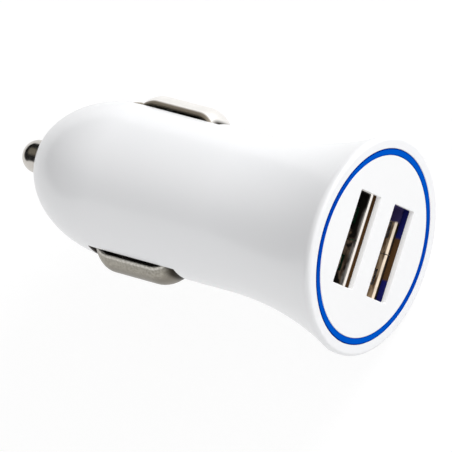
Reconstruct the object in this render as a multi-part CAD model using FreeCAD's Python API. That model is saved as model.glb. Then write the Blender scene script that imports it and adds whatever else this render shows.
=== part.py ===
# Two-port USB car charger: a trumpet-shaped plug for a 12 V vehicle socket.
# The axis of the plug is Y. The front face lies at y = 0 and looks along -Y,
# the nose with its spring-loaded tip points along +Y.
# The two ports are stacked along Z, the two side contacts stand out along X.
# All sizes are in millimetres.

import FreeCAD
import Part
import math
import os

V = FreeCAD.Vector

# Moulded housing
rim_land = 1.55
rim_band = 0.8
rim_round = 0.45
barrel_radius = 10.5
barrel_length = 19.3
flare_overrun = 6.5
nose_length = 14.4
nose_flat_radius = 3.3
wall = 1.3
shelf_width = 1.3
bay_step = 0.8

# Front cap and light ring
cap_margin = 2.7
cap_edge = 0.1
plate_thickness = 0.75
guide_thickness = 0.9
ring_width = 0.85
ring_edge = 0.15
fit_gap = 0.05
snap_width = 4.0
snap_thickness = 0.8
snap_reach = 3.2
snap_barb = 0.55
snap_barb_length = 1.2
snap_inset = 1.2
snap_play = 0.15
pipe_width = 2.2
pipe_height = 1.6
pipe_to_led = 0.25

# Ports
port_pitch = 8.9
port_width = 12.5
port_height = 5.12
guide_slot_margin = 0.1
shell_sheet = 0.3
shell_corner = 0.55
shell_length = 10.5
shell_setback = 0.1
shell_to_wall = 0.15
seam_gap = 0.14
finger_offset = 3.2
finger_window_width = 2.2
finger_width = 1.6
finger_length = 5.6
finger_window_setback = 0.9
finger_dip = 0.55
leg_width = 1.5
leg_setback = 6.0
leg_spacing = 2.6
leg_play = 0.1
leg_stickout = 0.35
tongue_side_gap = 0.7
tongue_thickness = 1.84
tongue_offset = 0.85
tongue_setback = 0.95
tongue_chamfer = 0.3
insulator_depth = 2.6
insulator_play = 0.08
insulator_back = 0.45
terminal_count = 4
terminal_spacing = 2.3
terminal_width = 1.0
terminal_sheet = 0.25
terminal_setback = 0.9
terminal_foot = 1.2
terminal_play = 0.06
bend_radius = 0.3

# Circuit board
board_thickness = 1.6
board_setback = 1.65
board_side_gap = 0.5
board_corner = 0.8
neck_gap = 0.35
rail_setback = 1.5
rail_to_contact = 0.9
rail_height = 1.0
rail_grip = 0.7
rail_play = 0.1

# Centre tip and its spring
tip_radius = 2.25
tip_projection = 4.0
tip_play = 0.15
tip_travel = 2.5
flange_radius = 3.4
flange_thickness = 1.0
flange_edge = 0.15
nose_wall = 1.3
sleeve_wall = 1.0
sleeve_overrun = 1.7
spigot_radius = 1.75
spigot_length = 1.0
spring_radius = 2.2
spring_wire = 0.45
spring_turns = 5
spring_length = 6.0
cup_radius = 3.0
cup_sheet = 0.4
cup_rim = 0.9
cup_tab_width = 2.4
cup_tab_length = 3.0

# Side contacts
contact_width = 6.0
contact_foot_width = 3.6
contact_shoulder = 2.2
contact_shoulder_round = 1.5
contact_sheet = 0.4
contact_proud = 1.6
contact_arch = 3.9
contact_crest_length = 8.15
contact_crest_to_nose = 0.25
contact_ramp_angle = 65.0
contact_bend = 3.2
contact_foot_bend = 0.7
contact_tail = 5.4
contact_play = 0.05
contact_to_board = 0.2
window_play = 0.3
window_end_play = 0.4

# Electronic parts
coil_flange_radius = 3.6
coil_core_radius = 1.8
coil_height = 4.6
coil_flange = 0.8
coil_turns = 6
coil_play = 0.05
coil_setback = 6.3
can_gap = 0.1
input_can_radius = 2.5
input_can_length = 8.0
input_can_inset = 15.2
output_can_radius = 3.0
output_can_length = 7.6
output_can_setback = 2.9
can_bead = 0.3
can_edge = 0.35
lead_thickness = 0.5
lead_reach = 1.1
lead_spacing = 2.0
lead_bend = 0.3
led_inset = 1.2
led_length = 2.0
led_width = 1.25
led_base = 0.3
led_lens = 0.5
chip_pin_width = 0.4
chip_pin_sheet = 0.2
converter_body = (3.9, 4.9, 1.5)
converter_pins = 4
converter_pitch = 1.27
converter_inset = 13.9
diode_body = (4.3, 2.6, 2.0)
diode_pin_width = 1.5
diode_inset = 7.9
current_body = (1.6, 2.9, 1.1)
current_pins = 3
current_pitch = 0.95
current_inset = 4.1
current_edge_inset = 2.4
fuse_body = (3.2, 1.6, 0.9)
fuse_inset = 4.6
fuse_edge_inset = 3.1
resistor_body = (1.6, 0.8, 0.45)
resistor_edge_inset = 2.9
capacitor_body = (2.0, 1.25, 0.8)
capacitor_edge_inset = 3.1
chip_rows = 2
chip_row_setback = 4.3
chip_row_pitch = 4.0

# Places that follow from the sizes above
shelf_place = plate_thickness + guide_thickness
plate_radius = math.hypot(port_width / 2, port_pitch / 2 + port_height / 2) + cap_margin
ring_outer_radius = plate_radius + fit_gap + ring_width
pocket_radius = ring_outer_radius + fit_gap
rim_radius = pocket_radius + rim_land
snap_distance = plate_radius - snap_inset
shelf_radius = pocket_radius - shelf_width
bore_radius = barrel_radius - wall
shell_half_width = port_width / 2 + shell_sheet
shell_half_height = port_height / 2 + shell_sheet
tongue_width = port_width - 2 * tongue_side_gap
shell_front = shelf_place + shell_setback
shell_back = shell_front + shell_length
bay_radius = math.hypot(shell_half_width, port_pitch / 2 + shell_half_height) + shell_to_wall
bay_end = shell_back + insulator_back
flare_length = bay_end + flare_overrun
nose_start = flare_length + barrel_length
flare_radius = ((flare_length - rim_band) ** 2 + (rim_radius - barrel_radius) ** 2) / (
    2 * (rim_radius - barrel_radius)
)
nose_end = nose_start + nose_length * math.sqrt(1 - (nose_flat_radius / barrel_radius) ** 2)
tip_hole_radius = tip_radius + tip_play
flange_seat = nose_end - nose_wall
flange_back = flange_seat - flange_thickness
sleeve_bore = flange_radius + tip_play
sleeve_radius = sleeve_bore + sleeve_wall
sleeve_length = flange_thickness + tip_travel + sleeve_overrun
tip_apex = nose_end + tip_projection
cup_face = flange_back - spring_length
board_end = cup_face - cup_sheet
board_top = board_thickness / 2
board_front = shelf_place + board_setback
rail_start = bay_end + rail_setback
contact_radius = barrel_radius + contact_proud
crest_end = nose_start - contact_crest_to_nose
crest_start = crest_end - contact_crest_length
foot_start = crest_start - contact_tail
foot_end = crest_end + contact_tail
board_neck = foot_start - neck_gap
rail_end = foot_start - rail_to_contact
coil_place = bay_end + coil_setback
port_sides = {"upper": 1, "lower": -1}
board_front_half_width = bay_radius - board_side_gap
board_middle_half_width = bore_radius - board_side_gap
led_offset = board_front_half_width - led_inset


# Small helpers for boxes, turned profiles and bent strips

def box(x_range, y_range, z_range):
    # A box between three pairs of limits.
    corner = V(x_range[0], y_range[0], z_range[0])
    size = (x_range[1] - x_range[0], y_range[1] - y_range[0], z_range[1] - z_range[0])
    return Part.makeBox(size[0], size[1], size[2], corner)


def centred_box(x, y, z, length_x, length_y, length_z):
    # A box around a centre.
    corner = V(x - length_x / 2, y - length_y / 2, z - length_z / 2)
    return Part.makeBox(length_x, length_y, length_z, corner)


def unit(a, b):
    # Direction from point a to point b of a flat path, and their distance.
    distance = math.hypot(b[0] - a[0], b[1] - a[1])
    return ((b[0] - a[0]) / distance, (b[1] - a[1]) / distance), distance


def rounded_wire(corners, place):
    # Closed outline with softened corners. Each corner is (u, v, radius), where
    # a negative radius is the length of a flat chamfer, and place turns (u, v)
    # into a point in space.
    count = len(corners)
    starts = []
    ends = []
    arcs = []
    for i in range(count):
        before = corners[i - 1]
        here = corners[i]
        after = corners[(i + 1) % count]
        back, _ = unit(here, before)
        forth, _ = unit(here, after)
        radius = here[2]
        cosine = max(-1.0, min(1.0, back[0] * forth[0] + back[1] * forth[1]))
        half = math.acos(cosine) / 2
        if radius == 0 or half > math.pi / 2 - 1e-6:
            starts.append((here[0], here[1]))
            ends.append((here[0], here[1]))
            arcs.append(None)
            continue
        reach = radius / math.tan(half) if radius > 0 else -radius
        start = (here[0] + back[0] * reach, here[1] + back[1] * reach)
        end = (here[0] + forth[0] * reach, here[1] + forth[1] * reach)
        if radius < 0:
            starts.append(start)
            ends.append(end)
            arcs.append(start)
            continue
        middle_way = (back[0] + forth[0], back[1] + forth[1])
        size = math.hypot(middle_way[0], middle_way[1])
        drop = radius / math.sin(half) - radius
        middle = (here[0] + middle_way[0] / size * drop, here[1] + middle_way[1] / size * drop)
        starts.append(start)
        ends.append(end)
        arcs.append(middle)
    edges = []
    for i in range(count):
        if arcs[i] == starts[i]:
            edges.append(Part.LineSegment(place(*starts[i]), place(*ends[i])).toShape())
        elif arcs[i] is not None:
            arc = Part.Arc(place(*starts[i]), place(*arcs[i]), place(*ends[i]))
            edges.append(arc.toShape())
        a = place(*ends[i])
        b = place(*starts[(i + 1) % count])
        if a.distanceToPoint(b) > 1e-6:
            edges.append(Part.LineSegment(a, b).toShape())
    return Part.Wire(edges)


def strip_corners(path, thickness, radius):
    # Corners of the outline of a bent strip that follows a flat path. Each
    # path point is (u, v) or (u, v, bend radius of the middle line).
    left = []
    right = []
    last = len(path) - 1
    for i, point in enumerate(path):
        if i > 0:
            arriving, _ = unit(path[i - 1], point)
        if i < last:
            leaving, _ = unit(point, path[i + 1])
        if i == 0:
            arriving = leaving
        if i == last:
            leaving = arriving
        turn = arriving[0] * leaving[1] - arriving[1] * leaving[0]
        sharpness = 1 + arriving[0] * leaving[0] + arriving[1] * leaving[1]
        normal_u = -(arriving[1] + leaving[1]) / sharpness
        normal_v = (arriving[0] + leaving[0]) / sharpness
        bend = point[2] if len(point) > 2 else radius
        if i in (0, last):
            inner = outer = 0
        elif turn > 0:
            inner = max(bend - thickness / 2, 0.01)
            outer = bend + thickness / 2
        else:
            inner = bend + thickness / 2
            outer = max(bend - thickness / 2, 0.01)
        half = thickness / 2
        left.append((point[0] + normal_u * half, point[1] + normal_v * half, inner))
        right.append((point[0] - normal_u * half, point[1] - normal_v * half, outer))
    return left + right[::-1]


def strip_across_x(path, thickness, radius, x, width):
    # Strip bent in the YZ plane, with its width along X.
    corners = strip_corners(path, thickness, radius)
    wire = rounded_wire(corners, lambda y, z: V(x - width / 2, y, z))
    return Part.Face(wire).extrude(V(width, 0, 0))


def rounded_bar(width, height, corner, y_start, y_end, z):
    # Rounded rectangle in the XZ plane, drawn out along Y.
    w = width / 2
    h = height / 2
    corners = [(-w, z - h, corner), (w, z - h, corner), (w, z + h, corner), (-w, z + h, corner)]
    wire = rounded_wire(corners, lambda x, height_z: V(x, y_start, height_z))
    return Part.Face(wire).extrude(V(0, y_end - y_start, 0))


def turned(corners, place, centre, axis):
    # Solid of revolution from a rounded half section.
    wire = rounded_wire(corners, place)
    return Part.Face(wire).revolve(centre, axis, 360)


def turned_about_y(corners):
    # Half section given as (radius, y, corner radius).
    return turned(corners, lambda r, y: V(r, y, 0), V(0, 0, 0), V(0, 1, 0))


def joined(shapes):
    # One solid from shapes that meet.
    result = shapes[0]
    for shape in shapes[1:]:
        result = result.fuse(shape)
    return result.removeSplitter()


def mirrored_in_x(shape):
    return shape.mirror(V(0, 0, 0), V(1, 0, 0))


# Moulded housing: rim, trumpet flare, barrel and nose in one piece

def ellipse_arc(radius, length, r_from, r_to):
    # Arc of the nose's ellipse between two radii, from the axis outwards.
    ellipse = Part.Ellipse(V(0, nose_start + length, 0), V(radius, nose_start, 0), V(0, nose_start, 0))
    return Part.Arc(ellipse, math.asin(r_from / radius), math.asin(min(1.0, r_to / radius))).toShape()


def flare_middle():
    # Point halfway along the concave arc of the flare.
    half = math.asin((flare_length - rim_band) / flare_radius) / 2
    r = barrel_radius + flare_radius * (1 - math.cos(half))
    return V(r, flare_length - flare_radius * math.sin(half), 0)


def housing_section():
    # Half section of the housing in the plane z = 0, with x as the radius.
    inner_length = nose_length - wall
    sleeve_root = nose_start + inner_length * math.sqrt(1 - (sleeve_radius / bore_radius) ** 2)
    round_off = rim_round * (1 - math.sqrt(0.5))
    rim_arc = Part.Arc(
        V(rim_radius - rim_round, 0, 0),
        V(rim_radius - round_off, round_off, 0),
        V(rim_radius, rim_round, 0),
    )
    flare = Part.Arc(V(rim_radius, rim_band, 0), flare_middle(), V(barrel_radius, flare_length, 0))
    outer_nose = ellipse_arc(barrel_radius, nose_length, nose_flat_radius, barrel_radius)
    inner_nose = ellipse_arc(bore_radius, inner_length, sleeve_radius, bore_radius)
    inside = [
        V(nose_flat_radius, nose_end, 0),
        V(tip_hole_radius, nose_end, 0),
        V(tip_hole_radius, flange_seat, 0),
        V(sleeve_bore, flange_seat, 0),
        V(sleeve_bore, flange_seat - sleeve_length, 0),
        V(sleeve_radius, flange_seat - sleeve_length, 0),
        V(sleeve_radius, sleeve_root, 0),
    ]
    mouth = [
        V(bore_radius, nose_start, 0),
        V(bore_radius, bay_end + bay_step, 0),
        V(bay_radius, bay_end, 0),
        V(shelf_radius, shelf_place, 0),
        V(pocket_radius, shelf_place, 0),
        V(pocket_radius, 0, 0),
        V(rim_radius - rim_round, 0, 0),
    ]
    edges = [rim_arc.toShape()]
    edges.append(Part.LineSegment(V(rim_radius, rim_round, 0), V(rim_radius, rim_band, 0)).toShape())
    edges.append(flare.toShape())
    barrel_line = Part.LineSegment(V(barrel_radius, flare_length, 0), V(barrel_radius, nose_start, 0))
    edges.append(barrel_line.toShape())
    edges.append(outer_nose)
    edges.append(inner_nose)
    for run in (inside, mouth):
        for a, b in zip(run[:-1], run[1:]):
            edges.append(Part.LineSegment(a, b).toShape())
    ordered = Part.__sortEdges__(edges)
    return Part.Face(Part.Wire(ordered))


def housing():
    body = housing_section().revolve(V(0, 0, 0), V(0, 1, 0), 360)
    # Rails on each side carry the board between them.
    rails = []
    inner = board_middle_half_width - rail_grip
    low = board_top + rail_play
    for side in (-1, 1):
        for face in (-1, 1):
            x_range = sorted((side * inner, side * (bore_radius + wall / 4)))
            z_range = sorted((face * low, face * (low + rail_height)))
            rails.append(box(x_range, (rail_start, rail_end), z_range))
    body = joined([body] + rails)
    # Windows for the side contacts.
    half = contact_width / 2 + window_play
    for side in (-1, 1):
        x_range = sorted((side * bore_radius * 0.7, side * (barrel_radius + wall)))
        y_range = (front_corner() - window_end_play, rear_corner() + window_end_play)
        body = body.cut(box(x_range, y_range, (-half, half)))
    # Blind pockets behind the shelf, which the cap's barbs snap into.
    for side in (-1, 1):
        y_range = (barb_start() - snap_play, barb_start() + snap_barb_length + snap_play)
        top = snap_distance + snap_barb + snap_play
        z_range = sorted((side * (snap_distance - snap_thickness), side * top))
        half = snap_width / 2 + snap_play
        body = body.cut(box((-half, half), y_range, z_range))
    return body


# Front cap, with its two port openings and two snap legs

def barb_start():
    return shelf_place + snap_reach - snap_barb_length


def snap_leg(side):
    # Flat leg behind the cap with a wedge-shaped barb at its end.
    outer = snap_distance
    inner = snap_distance - snap_thickness
    end = shelf_place + snap_reach
    corners = [
        (plate_thickness / 2, side * inner, 0),
        (end, side * inner, 0),
        (end, side * (inner + snap_thickness / 2), 0),
        (barb_start(), side * (outer + snap_barb), 0),
        (barb_start(), side * outer, 0),
        (plate_thickness / 2, side * outer, 0),
    ]
    wire = rounded_wire(corners, lambda y, z: V(-snap_width / 2, y, z))
    return Part.Face(wire).extrude(V(snap_width, 0, 0))


def face_plate():
    corners = [
        (0, 0, 0),
        (plate_radius, 0, -cap_edge),
        (plate_radius, plate_thickness, 0),
        (0, plate_thickness, 0),
    ]
    plate = turned_about_y(corners)
    plate = joined([plate, snap_leg(-1), snap_leg(1)])
    for z in port_places():
        plate = plate.cut(centred_box(0, plate_thickness / 2, z, port_width, 2 * plate_thickness, port_height))
    return plate


# Light guide: a disc behind the cap, whose raised edge shows as the blue ring

def light_guide():
    corners = [
        (0, plate_thickness, 0),
        (ring_outer_radius - ring_width, plate_thickness, 0),
        (ring_outer_radius - ring_width, 0, -ring_edge),
        (ring_outer_radius, 0, -ring_edge),
        (ring_outer_radius, shelf_place, 0),
        (0, shelf_place, 0),
    ]
    guide = turned_about_y(corners)
    # Two light pipes reach back to the lamps on the board.
    pipe_z = board_top + pipe_height / 2
    pipe_end = board_front - pipe_to_led
    for side in (-1, 1):
        y_middle = (shelf_place + pipe_end) / 2 - guide_thickness / 4
        length = pipe_end - shelf_place + guide_thickness / 2
        pipe = centred_box(side * led_offset, y_middle, pipe_z, pipe_width, length, pipe_height)
        guide = guide.fuse(pipe)
    guide = guide.removeSplitter()
    width = port_width + 2 * guide_slot_margin
    height = port_height + 2 * guide_slot_margin
    middle = plate_thickness + guide_thickness / 2
    for z in port_places():
        guide = guide.cut(centred_box(0, middle, z, width, 2 * guide_thickness, height))
    # Notches let the cap's snap legs through.
    notch_width = snap_width + 2 * snap_play
    notch_height = snap_thickness + 2 * snap_play
    for side in (-1, 1):
        z = side * (snap_distance - snap_thickness / 2)
        guide = guide.cut(centred_box(0, middle, z, notch_width, 2 * guide_thickness, notch_height))
    return guide


# Ports: stamped shell, moulded insulator with its tongue, four terminals

def port_place(name):
    # Height of a port's middle line.
    return port_sides[name] * port_pitch / 2


def port_places():
    return [port_place(name) for name in port_sides]


def leg_place(name):
    # The two shells stand on opposite faces of one board, so their legs
    # go through it at different places along it.
    return shell_front + leg_setback + port_sides[name] * leg_spacing / 2


def shell_leg(name, side):
    # Leg from a side wall of the shell down through the board.
    port = port_sides[name]
    z_start = port_place(name) - port * (shell_half_height - 2 * shell_corner)
    z_end = -port * (board_top + leg_stickout)
    y = leg_place(name)
    x_range = sorted((side * (shell_half_width - shell_sheet), side * shell_half_width))
    return box(x_range, (y - leg_width / 2, y + leg_width / 2), sorted((z_start, z_end)))


def spring_finger(x, z_wall, inward):
    # Finger left standing in its window, dipping into the port.
    y_back = shell_front + finger_window_setback + finger_length
    path = [
        (y_back + shell_sheet, z_wall),
        (y_back - finger_length * 0.2, z_wall),
        (y_back - finger_length * 0.68, z_wall + inward * finger_dip),
        (y_back - finger_length * 0.92, z_wall + inward * finger_dip * 0.1),
    ]
    return strip_across_x(path, shell_sheet, bend_radius * 2, x, finger_width)


def usb_shell(name):
    z = port_place(name)
    width = port_width + 2 * shell_sheet
    height = port_height + 2 * shell_sheet
    shell = rounded_bar(width, height, shell_corner, shell_front, shell_back, z)
    inner_corner = shell_corner - shell_sheet
    hollow = rounded_bar(port_width, port_height, inner_corner, shell_front - 1, shell_back + 1, z)
    shell = shell.cut(hollow)
    wall_middle = port_height / 2 + shell_sheet / 2
    y_start = shell_front + finger_window_setback
    fingers = []
    for face in (-1, 1):
        z_wall = z + face * wall_middle
        z_range = (z_wall - shell_sheet, z_wall + shell_sheet)
        for side in (-1, 1):
            x = side * finger_offset
            x_range = (x - finger_window_width / 2, x + finger_window_width / 2)
            shell = shell.cut(box(x_range, (y_start, y_start + finger_length), z_range))
            fingers.append(spring_finger(x, z_wall, -face))
    # The sheet's two ends meet at a seam in the lower wall.
    z_range = (z - wall_middle - shell_sheet, z - wall_middle + shell_sheet)
    seam = box((-seam_gap / 2, seam_gap / 2), (shell_front - 1, shell_back + 1), z_range)
    shell = shell.cut(seam)
    legs = [shell_leg(name, -1), shell_leg(name, 1)]
    return joined([shell] + fingers + legs)


def terminal_height(name):
    # Middle of the terminal strips, let into the underside of the tongue.
    return port_place(name) + tongue_offset - tongue_thickness / 2 + terminal_sheet / 2


def terminal_x(index):
    return (index - (terminal_count - 1) / 2) * terminal_spacing


def usb_insulator(name):
    z = port_place(name)
    port = port_sides[name]
    width = port_width - 2 * insulator_play
    height = port_height - 2 * insulator_play
    block_front = shell_back - insulator_depth
    block = rounded_bar(width, height, shell_corner - shell_sheet, block_front, shell_back, z)
    # The rear wall stands on the board behind the shell.
    z_range = sorted((z + port * height / 2, port * board_top))
    rear = box((-width / 2, width / 2), (shell_back, bay_end), z_range)
    tongue_front = shell_front + tongue_setback
    root = block_front + insulator_depth / 2
    low = z + tongue_offset - tongue_thickness / 2
    high = low + tongue_thickness
    corners = [
        (tongue_front, low + tongue_chamfer, 0),
        (tongue_front + tongue_chamfer, low, 0),
        (root, low, 0),
        (root, high, 0),
        (tongue_front + tongue_chamfer, high, 0),
        (tongue_front, high - tongue_chamfer, 0),
    ]
    wire = rounded_wire(corners, lambda y, height_z: V(-tongue_width / 2, y, height_z))
    tongue = Part.Face(wire).extrude(V(tongue_width, 0, 0))
    body = joined([block, rear, tongue])
    # Grooves under the tongue lead on through the block for the terminals.
    strip_z = terminal_height(name)
    half_height = terminal_sheet / 2 + terminal_play
    half_width = terminal_width / 2 + terminal_play
    start = tongue_front + terminal_setback - terminal_play
    for index in range(terminal_count):
        x = terminal_x(index)
        z_range = (strip_z - half_height, strip_z + half_height)
        body = body.cut(box((x - half_width, x + half_width), (start, bay_end + 1), z_range))
    return body


def usb_terminal(name, index):
    # Strip along the tongue, along the back of the insulator, foot on the board.
    strip_z = terminal_height(name)
    foot_z = port_sides[name] * (board_top + terminal_sheet / 2)
    tail = bay_end + terminal_play + terminal_sheet / 2
    path = [
        (shell_front + tongue_setback + terminal_setback, strip_z),
        (tail, strip_z),
        (tail, foot_z),
        (tail + terminal_foot, foot_z),
    ]
    return strip_across_x(path, terminal_sheet, bend_radius, terminal_x(index), terminal_width)


# Circuit board, widest beside the ports and narrow between the side contacts

def nose_bore(y):
    # Radius of the hollow inside the nose at a distance along the axis.
    share = max(0.0, y - nose_start) / (nose_length - wall)
    return bore_radius * math.sqrt(1 - share ** 2)


def contact_front_radius():
    return bore_radius - contact_play - contact_sheet / 2


def contact_rear_radius():
    return nose_bore(foot_end) - contact_play - contact_sheet / 2


def crest_reach():
    # Distance from the end of the flat crest to the corner of its bend.
    return contact_bend * math.tan(math.radians(contact_ramp_angle) / 2)


def ramp_run(foot_radius):
    # Distance along the axis from a foot's bend to the corner at the crest.
    drop = contact_radius - contact_sheet / 2 - foot_radius
    return drop / math.tan(math.radians(contact_ramp_angle))


def front_corner():
    return crest_start - crest_reach() - ramp_run(contact_front_radius())


def rear_corner():
    return crest_end + crest_reach() + ramp_run(contact_rear_radius())


def board_rear_half_width():
    # The board stays clear of both contacts when they are pressed in.
    return contact_rear_radius() - contact_sheet / 2 - contact_proud - contact_to_board


def circuit_board():
    rear = board_rear_half_width()
    right = [
        (board_front_half_width, board_front, board_corner),
        (board_front_half_width, bay_end, 0),
        (board_middle_half_width, bay_end, 0),
        (board_middle_half_width, board_neck, board_corner),
        (rear, board_neck, board_corner),
        (rear, board_end, board_corner),
    ]
    left = [(-x, y, radius) for x, y, radius in reversed(right)]
    wire = rounded_wire(right + left, lambda x, y: V(x, y, -board_top))
    board = Part.Face(wire).extrude(V(0, 0, board_thickness))
    for name in port_sides:
        for side in (-1, 1):
            x = side * (shell_half_width - shell_sheet / 2)
            length_x = shell_sheet + 2 * leg_play
            length_y = leg_width + 2 * leg_play
            hole = centred_box(x, leg_place(name), 0, length_x, length_y, 2 * board_thickness)
            board = board.cut(hole)
    return board


# Centre tip, its spring, and the cup that the spring presses on

def centre_tip():
    corners = [
        (0, flange_back - spigot_length, 0),
        (spigot_radius, flange_back - spigot_length, -flange_edge),
        (spigot_radius, flange_back, 0),
        (flange_radius, flange_back, -flange_edge),
        (flange_radius, flange_seat, -flange_edge),
        (tip_radius, flange_seat, 0),
        (tip_radius, tip_apex, tip_radius * 0.98),
        (0, tip_apex, 0),
    ]
    return turned_about_y(corners)


def tip_spring():
    length = flange_back - cup_face - spring_wire
    helix = Part.makeHelix(length / spring_turns, length, spring_radius)
    wire_section = Part.Circle(V(spring_radius, 0, 0), V(0, 1, 0), spring_wire / 2)
    section = Part.Wire([wire_section.toShape()])
    coil = Part.Wire(helix.Edges).makePipeShell([section], True, True)
    coil.rotate(V(0, 0, 0), V(1, 0, 0), -90)
    coil.translate(V(0, cup_face + spring_wire / 2, 0))
    return coil


def spring_cup():
    corners = [
        (0, board_end, 0),
        (cup_radius, board_end, -cup_sheet / 2),
        (cup_radius, cup_face + cup_rim, 0),
        (cup_radius - cup_sheet, cup_face + cup_rim, 0),
        (cup_radius - cup_sheet, cup_face, 0),
        (0, cup_face, 0),
    ]
    cup = turned_about_y(corners)
    tabs = []
    for side in (-1, 1):
        z_range = sorted((side * board_top, side * (board_top + cup_sheet)))
        y_range = (board_end - cup_tab_length, board_end + cup_sheet / 2)
        tabs.append(box((-cup_tab_width / 2, cup_tab_width / 2), y_range, z_range))
    return joined([cup] + tabs)


# Side contacts: bowed spring strips with arched backs, whose narrow feet are
# held behind the ends of their windows

def arched(corners, radius, half_width):
    # Solid under a path (distance from axis, y, bend radius), whose surface
    # falls away to both sides of its crest along an arc of the given radius.
    wire = rounded_wire(corners, lambda r, y: V(r, y, 0))
    drop = radius - math.sqrt(radius ** 2 - half_width ** 2)
    wire.translate(V(-drop, 0, -half_width))
    spine = Part.Arc(V(-drop, 0, -half_width), V(0, 0, 0), V(-drop, 0, half_width))
    sweep = Part.BRepOffsetAPI.MakePipeShell(Part.Wire([spine.toShape()]))
    sweep.setTrihedronMode(V(0, 0, 0), V(0, 1, 0))
    sweep.add(wire, False, False)
    sweep.build()
    sweep.makeSolid()
    return sweep.shape()


def contact_plan():
    # Outline of the strip seen from outside: narrow feet, wide middle.
    foot = contact_foot_width / 2
    full = contact_width / 2
    near = front_corner() + window_end_play
    far = rear_corner() - window_end_play
    half = [
        (foot_start, foot, contact_foot_bend),
        (near, foot, contact_foot_bend),
        (near + contact_shoulder, full, contact_shoulder_round),
        (far - contact_shoulder, full, contact_shoulder_round),
        (far, foot, contact_foot_bend),
        (foot_end, foot, contact_foot_bend),
    ]
    other = [(y, -z, radius) for y, z, radius in reversed(half)]
    wire = rounded_wire(half + other, lambda y, z: V(0, y, z))
    return Part.Face(wire).extrude(V(contact_radius, 0, 0))


def side_contact(side):
    crest = contact_radius - contact_sheet / 2
    path = [
        (contact_front_radius(), foot_start),
        (contact_front_radius(), front_corner(), contact_foot_bend),
        (crest, crest_start - crest_reach(), contact_bend),
        (crest, crest_end + crest_reach(), contact_bend),
        (contact_rear_radius(), rear_corner(), contact_foot_bend),
        (contact_rear_radius(), foot_end),
    ]
    outline = strip_corners(path, contact_sheet, contact_foot_bend)
    count = len(path)
    inner_side = outline[:count]
    outer_side = outline[count:][::-1]
    base = contact_rear_radius() - contact_arch
    half_width = contact_width / 2
    solids = []
    for line, radius in ((outer_side, contact_arch), (inner_side, contact_arch - contact_sheet)):
        under = [(base, line[0][1], 0)] + line + [(base, line[-1][1], 0)]
        solids.append(arched(under, radius, half_width))
    strip = solids[0].cut(solids[1]).common(contact_plan())
    if side < 0:
        strip = mirrored_in_x(strip)
    return strip


# Electronic parts on the board. Each is built upright on z = 0 around its
# own centre and then set on the upper or lower face of the board.

def on_board(shape, x, y, side):
    if side < 0:
        shape = shape.mirror(V(0, 0, 0), V(0, 0, 1))
    shape.translate(V(x, y, side * board_top))
    return shape


def turned_upright(corners):
    # Half section given as (radius, z, corner radius).
    return turned(corners, lambda r, z: V(r, 0, z), V(0, 0, 0), V(0, 0, 1))


def inductor_core():
    corners = [
        (0, 0, 0),
        (coil_flange_radius, 0, 0),
        (coil_flange_radius, coil_flange, 0),
        (coil_core_radius, coil_flange, 0),
        (coil_core_radius, coil_height - coil_flange, 0),
        (coil_flange_radius, coil_height - coil_flange, 0),
        (coil_flange_radius, coil_height, 0),
        (0, coil_height, 0),
    ]
    return on_board(turned_upright(corners), 0, coil_place, 1)


def inductor_winding():
    # Layers of wire seen as ridges around the core.
    low = coil_flange + coil_play
    pitch = (coil_height - 2 * low) / coil_turns
    outer = coil_flange_radius - 2 * coil_play
    corners = [(coil_core_radius + coil_play, low, 0)]
    for turn in range(coil_turns):
        z = low + turn * pitch
        corners.append((outer - pitch / 3, z, 0))
        corners.append((outer, z + pitch / 3, 0))
        corners.append((outer, z + 2 * pitch / 3, 0))
    corners.append((outer - pitch / 3, coil_height - low, 0))
    corners.append((coil_core_radius + coil_play, coil_height - low, 0))
    return on_board(turned_upright(corners), 0, coil_place, 1)


def lying_can(radius, front, length, side):
    # Electrolytic capacitor lying on the board, its leads bent down at the back.
    back = front + length
    corners = [
        (0, front, 0),
        (radius, front, -can_edge),
        (radius, back - 4 * can_bead, 0),
        (radius - can_bead, back - 3 * can_bead, 0),
        (radius, back - 2 * can_bead, 0),
        (radius, back, -can_edge),
        (0, back, 0),
    ]
    axis_z = board_top + can_gap + radius
    can = turned_about_y(corners)
    can.translate(V(0, 0, side * axis_z))
    path = [
        (back - can_bead, side * axis_z),
        (back + lead_reach, side * axis_z),
        (back + lead_reach, side * board_top),
    ]
    leads = []
    for x in (-lead_spacing / 2, lead_spacing / 2):
        leads.append(strip_across_x(path, lead_thickness, lead_bend, x, lead_thickness))
    return joined([can] + leads)


def gull_chip(body, pins, pitch, pin_width, x, y, side):
    # Moulded chip with bent pins along its two sides. The body's size is
    # (across the pins, along the pins, height).
    across, along, height = body
    stand = chip_pin_sheet / 2
    case = centred_box(0, 0, stand + height / 2, across, along, height)
    upright = [edge for edge in case.Edges if edge.BoundBox.ZLength > height / 2]
    shapes = [case.makeChamfer(stand, upright)]
    level = height / 2
    foot = across / 2 + 3 * chip_pin_sheet
    for hand in (-1, 1):
        path = [
            (hand * (across / 2 - chip_pin_sheet), level),
            (hand * foot, level),
            (hand * foot, chip_pin_sheet / 2),
            (hand * (foot + 3 * chip_pin_sheet), chip_pin_sheet / 2),
        ]
        corners = strip_corners(path, chip_pin_sheet, chip_pin_sheet)
        for index in range(pins):
            start = (index - (pins - 1) / 2) * pitch - pin_width / 2
            wire = rounded_wire(corners, lambda u, z, start=start: V(u, start, z))
            shapes.append(Part.Face(wire).extrude(V(0, pin_width, 0)))
    return on_board(joined(shapes), x, y, side)


def chip_piece(body, x, y, side):
    # Small block-shaped part with end caps a little thicker than its middle.
    # The body's size is (along X, along Y, height).
    length_x, length_y, height = body
    cap = length_x / 5
    middle = centred_box(0, 0, height / 2, length_x - cap, length_y * 0.94, height * 0.94)
    ends = []
    for hand in (-1, 1):
        centre = hand * (length_x - cap) / 2
        ends.append(centred_box(centre, 0, height / 2, cap, length_y, height))
    return on_board(joined([middle] + ends), x, y, side)


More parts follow.
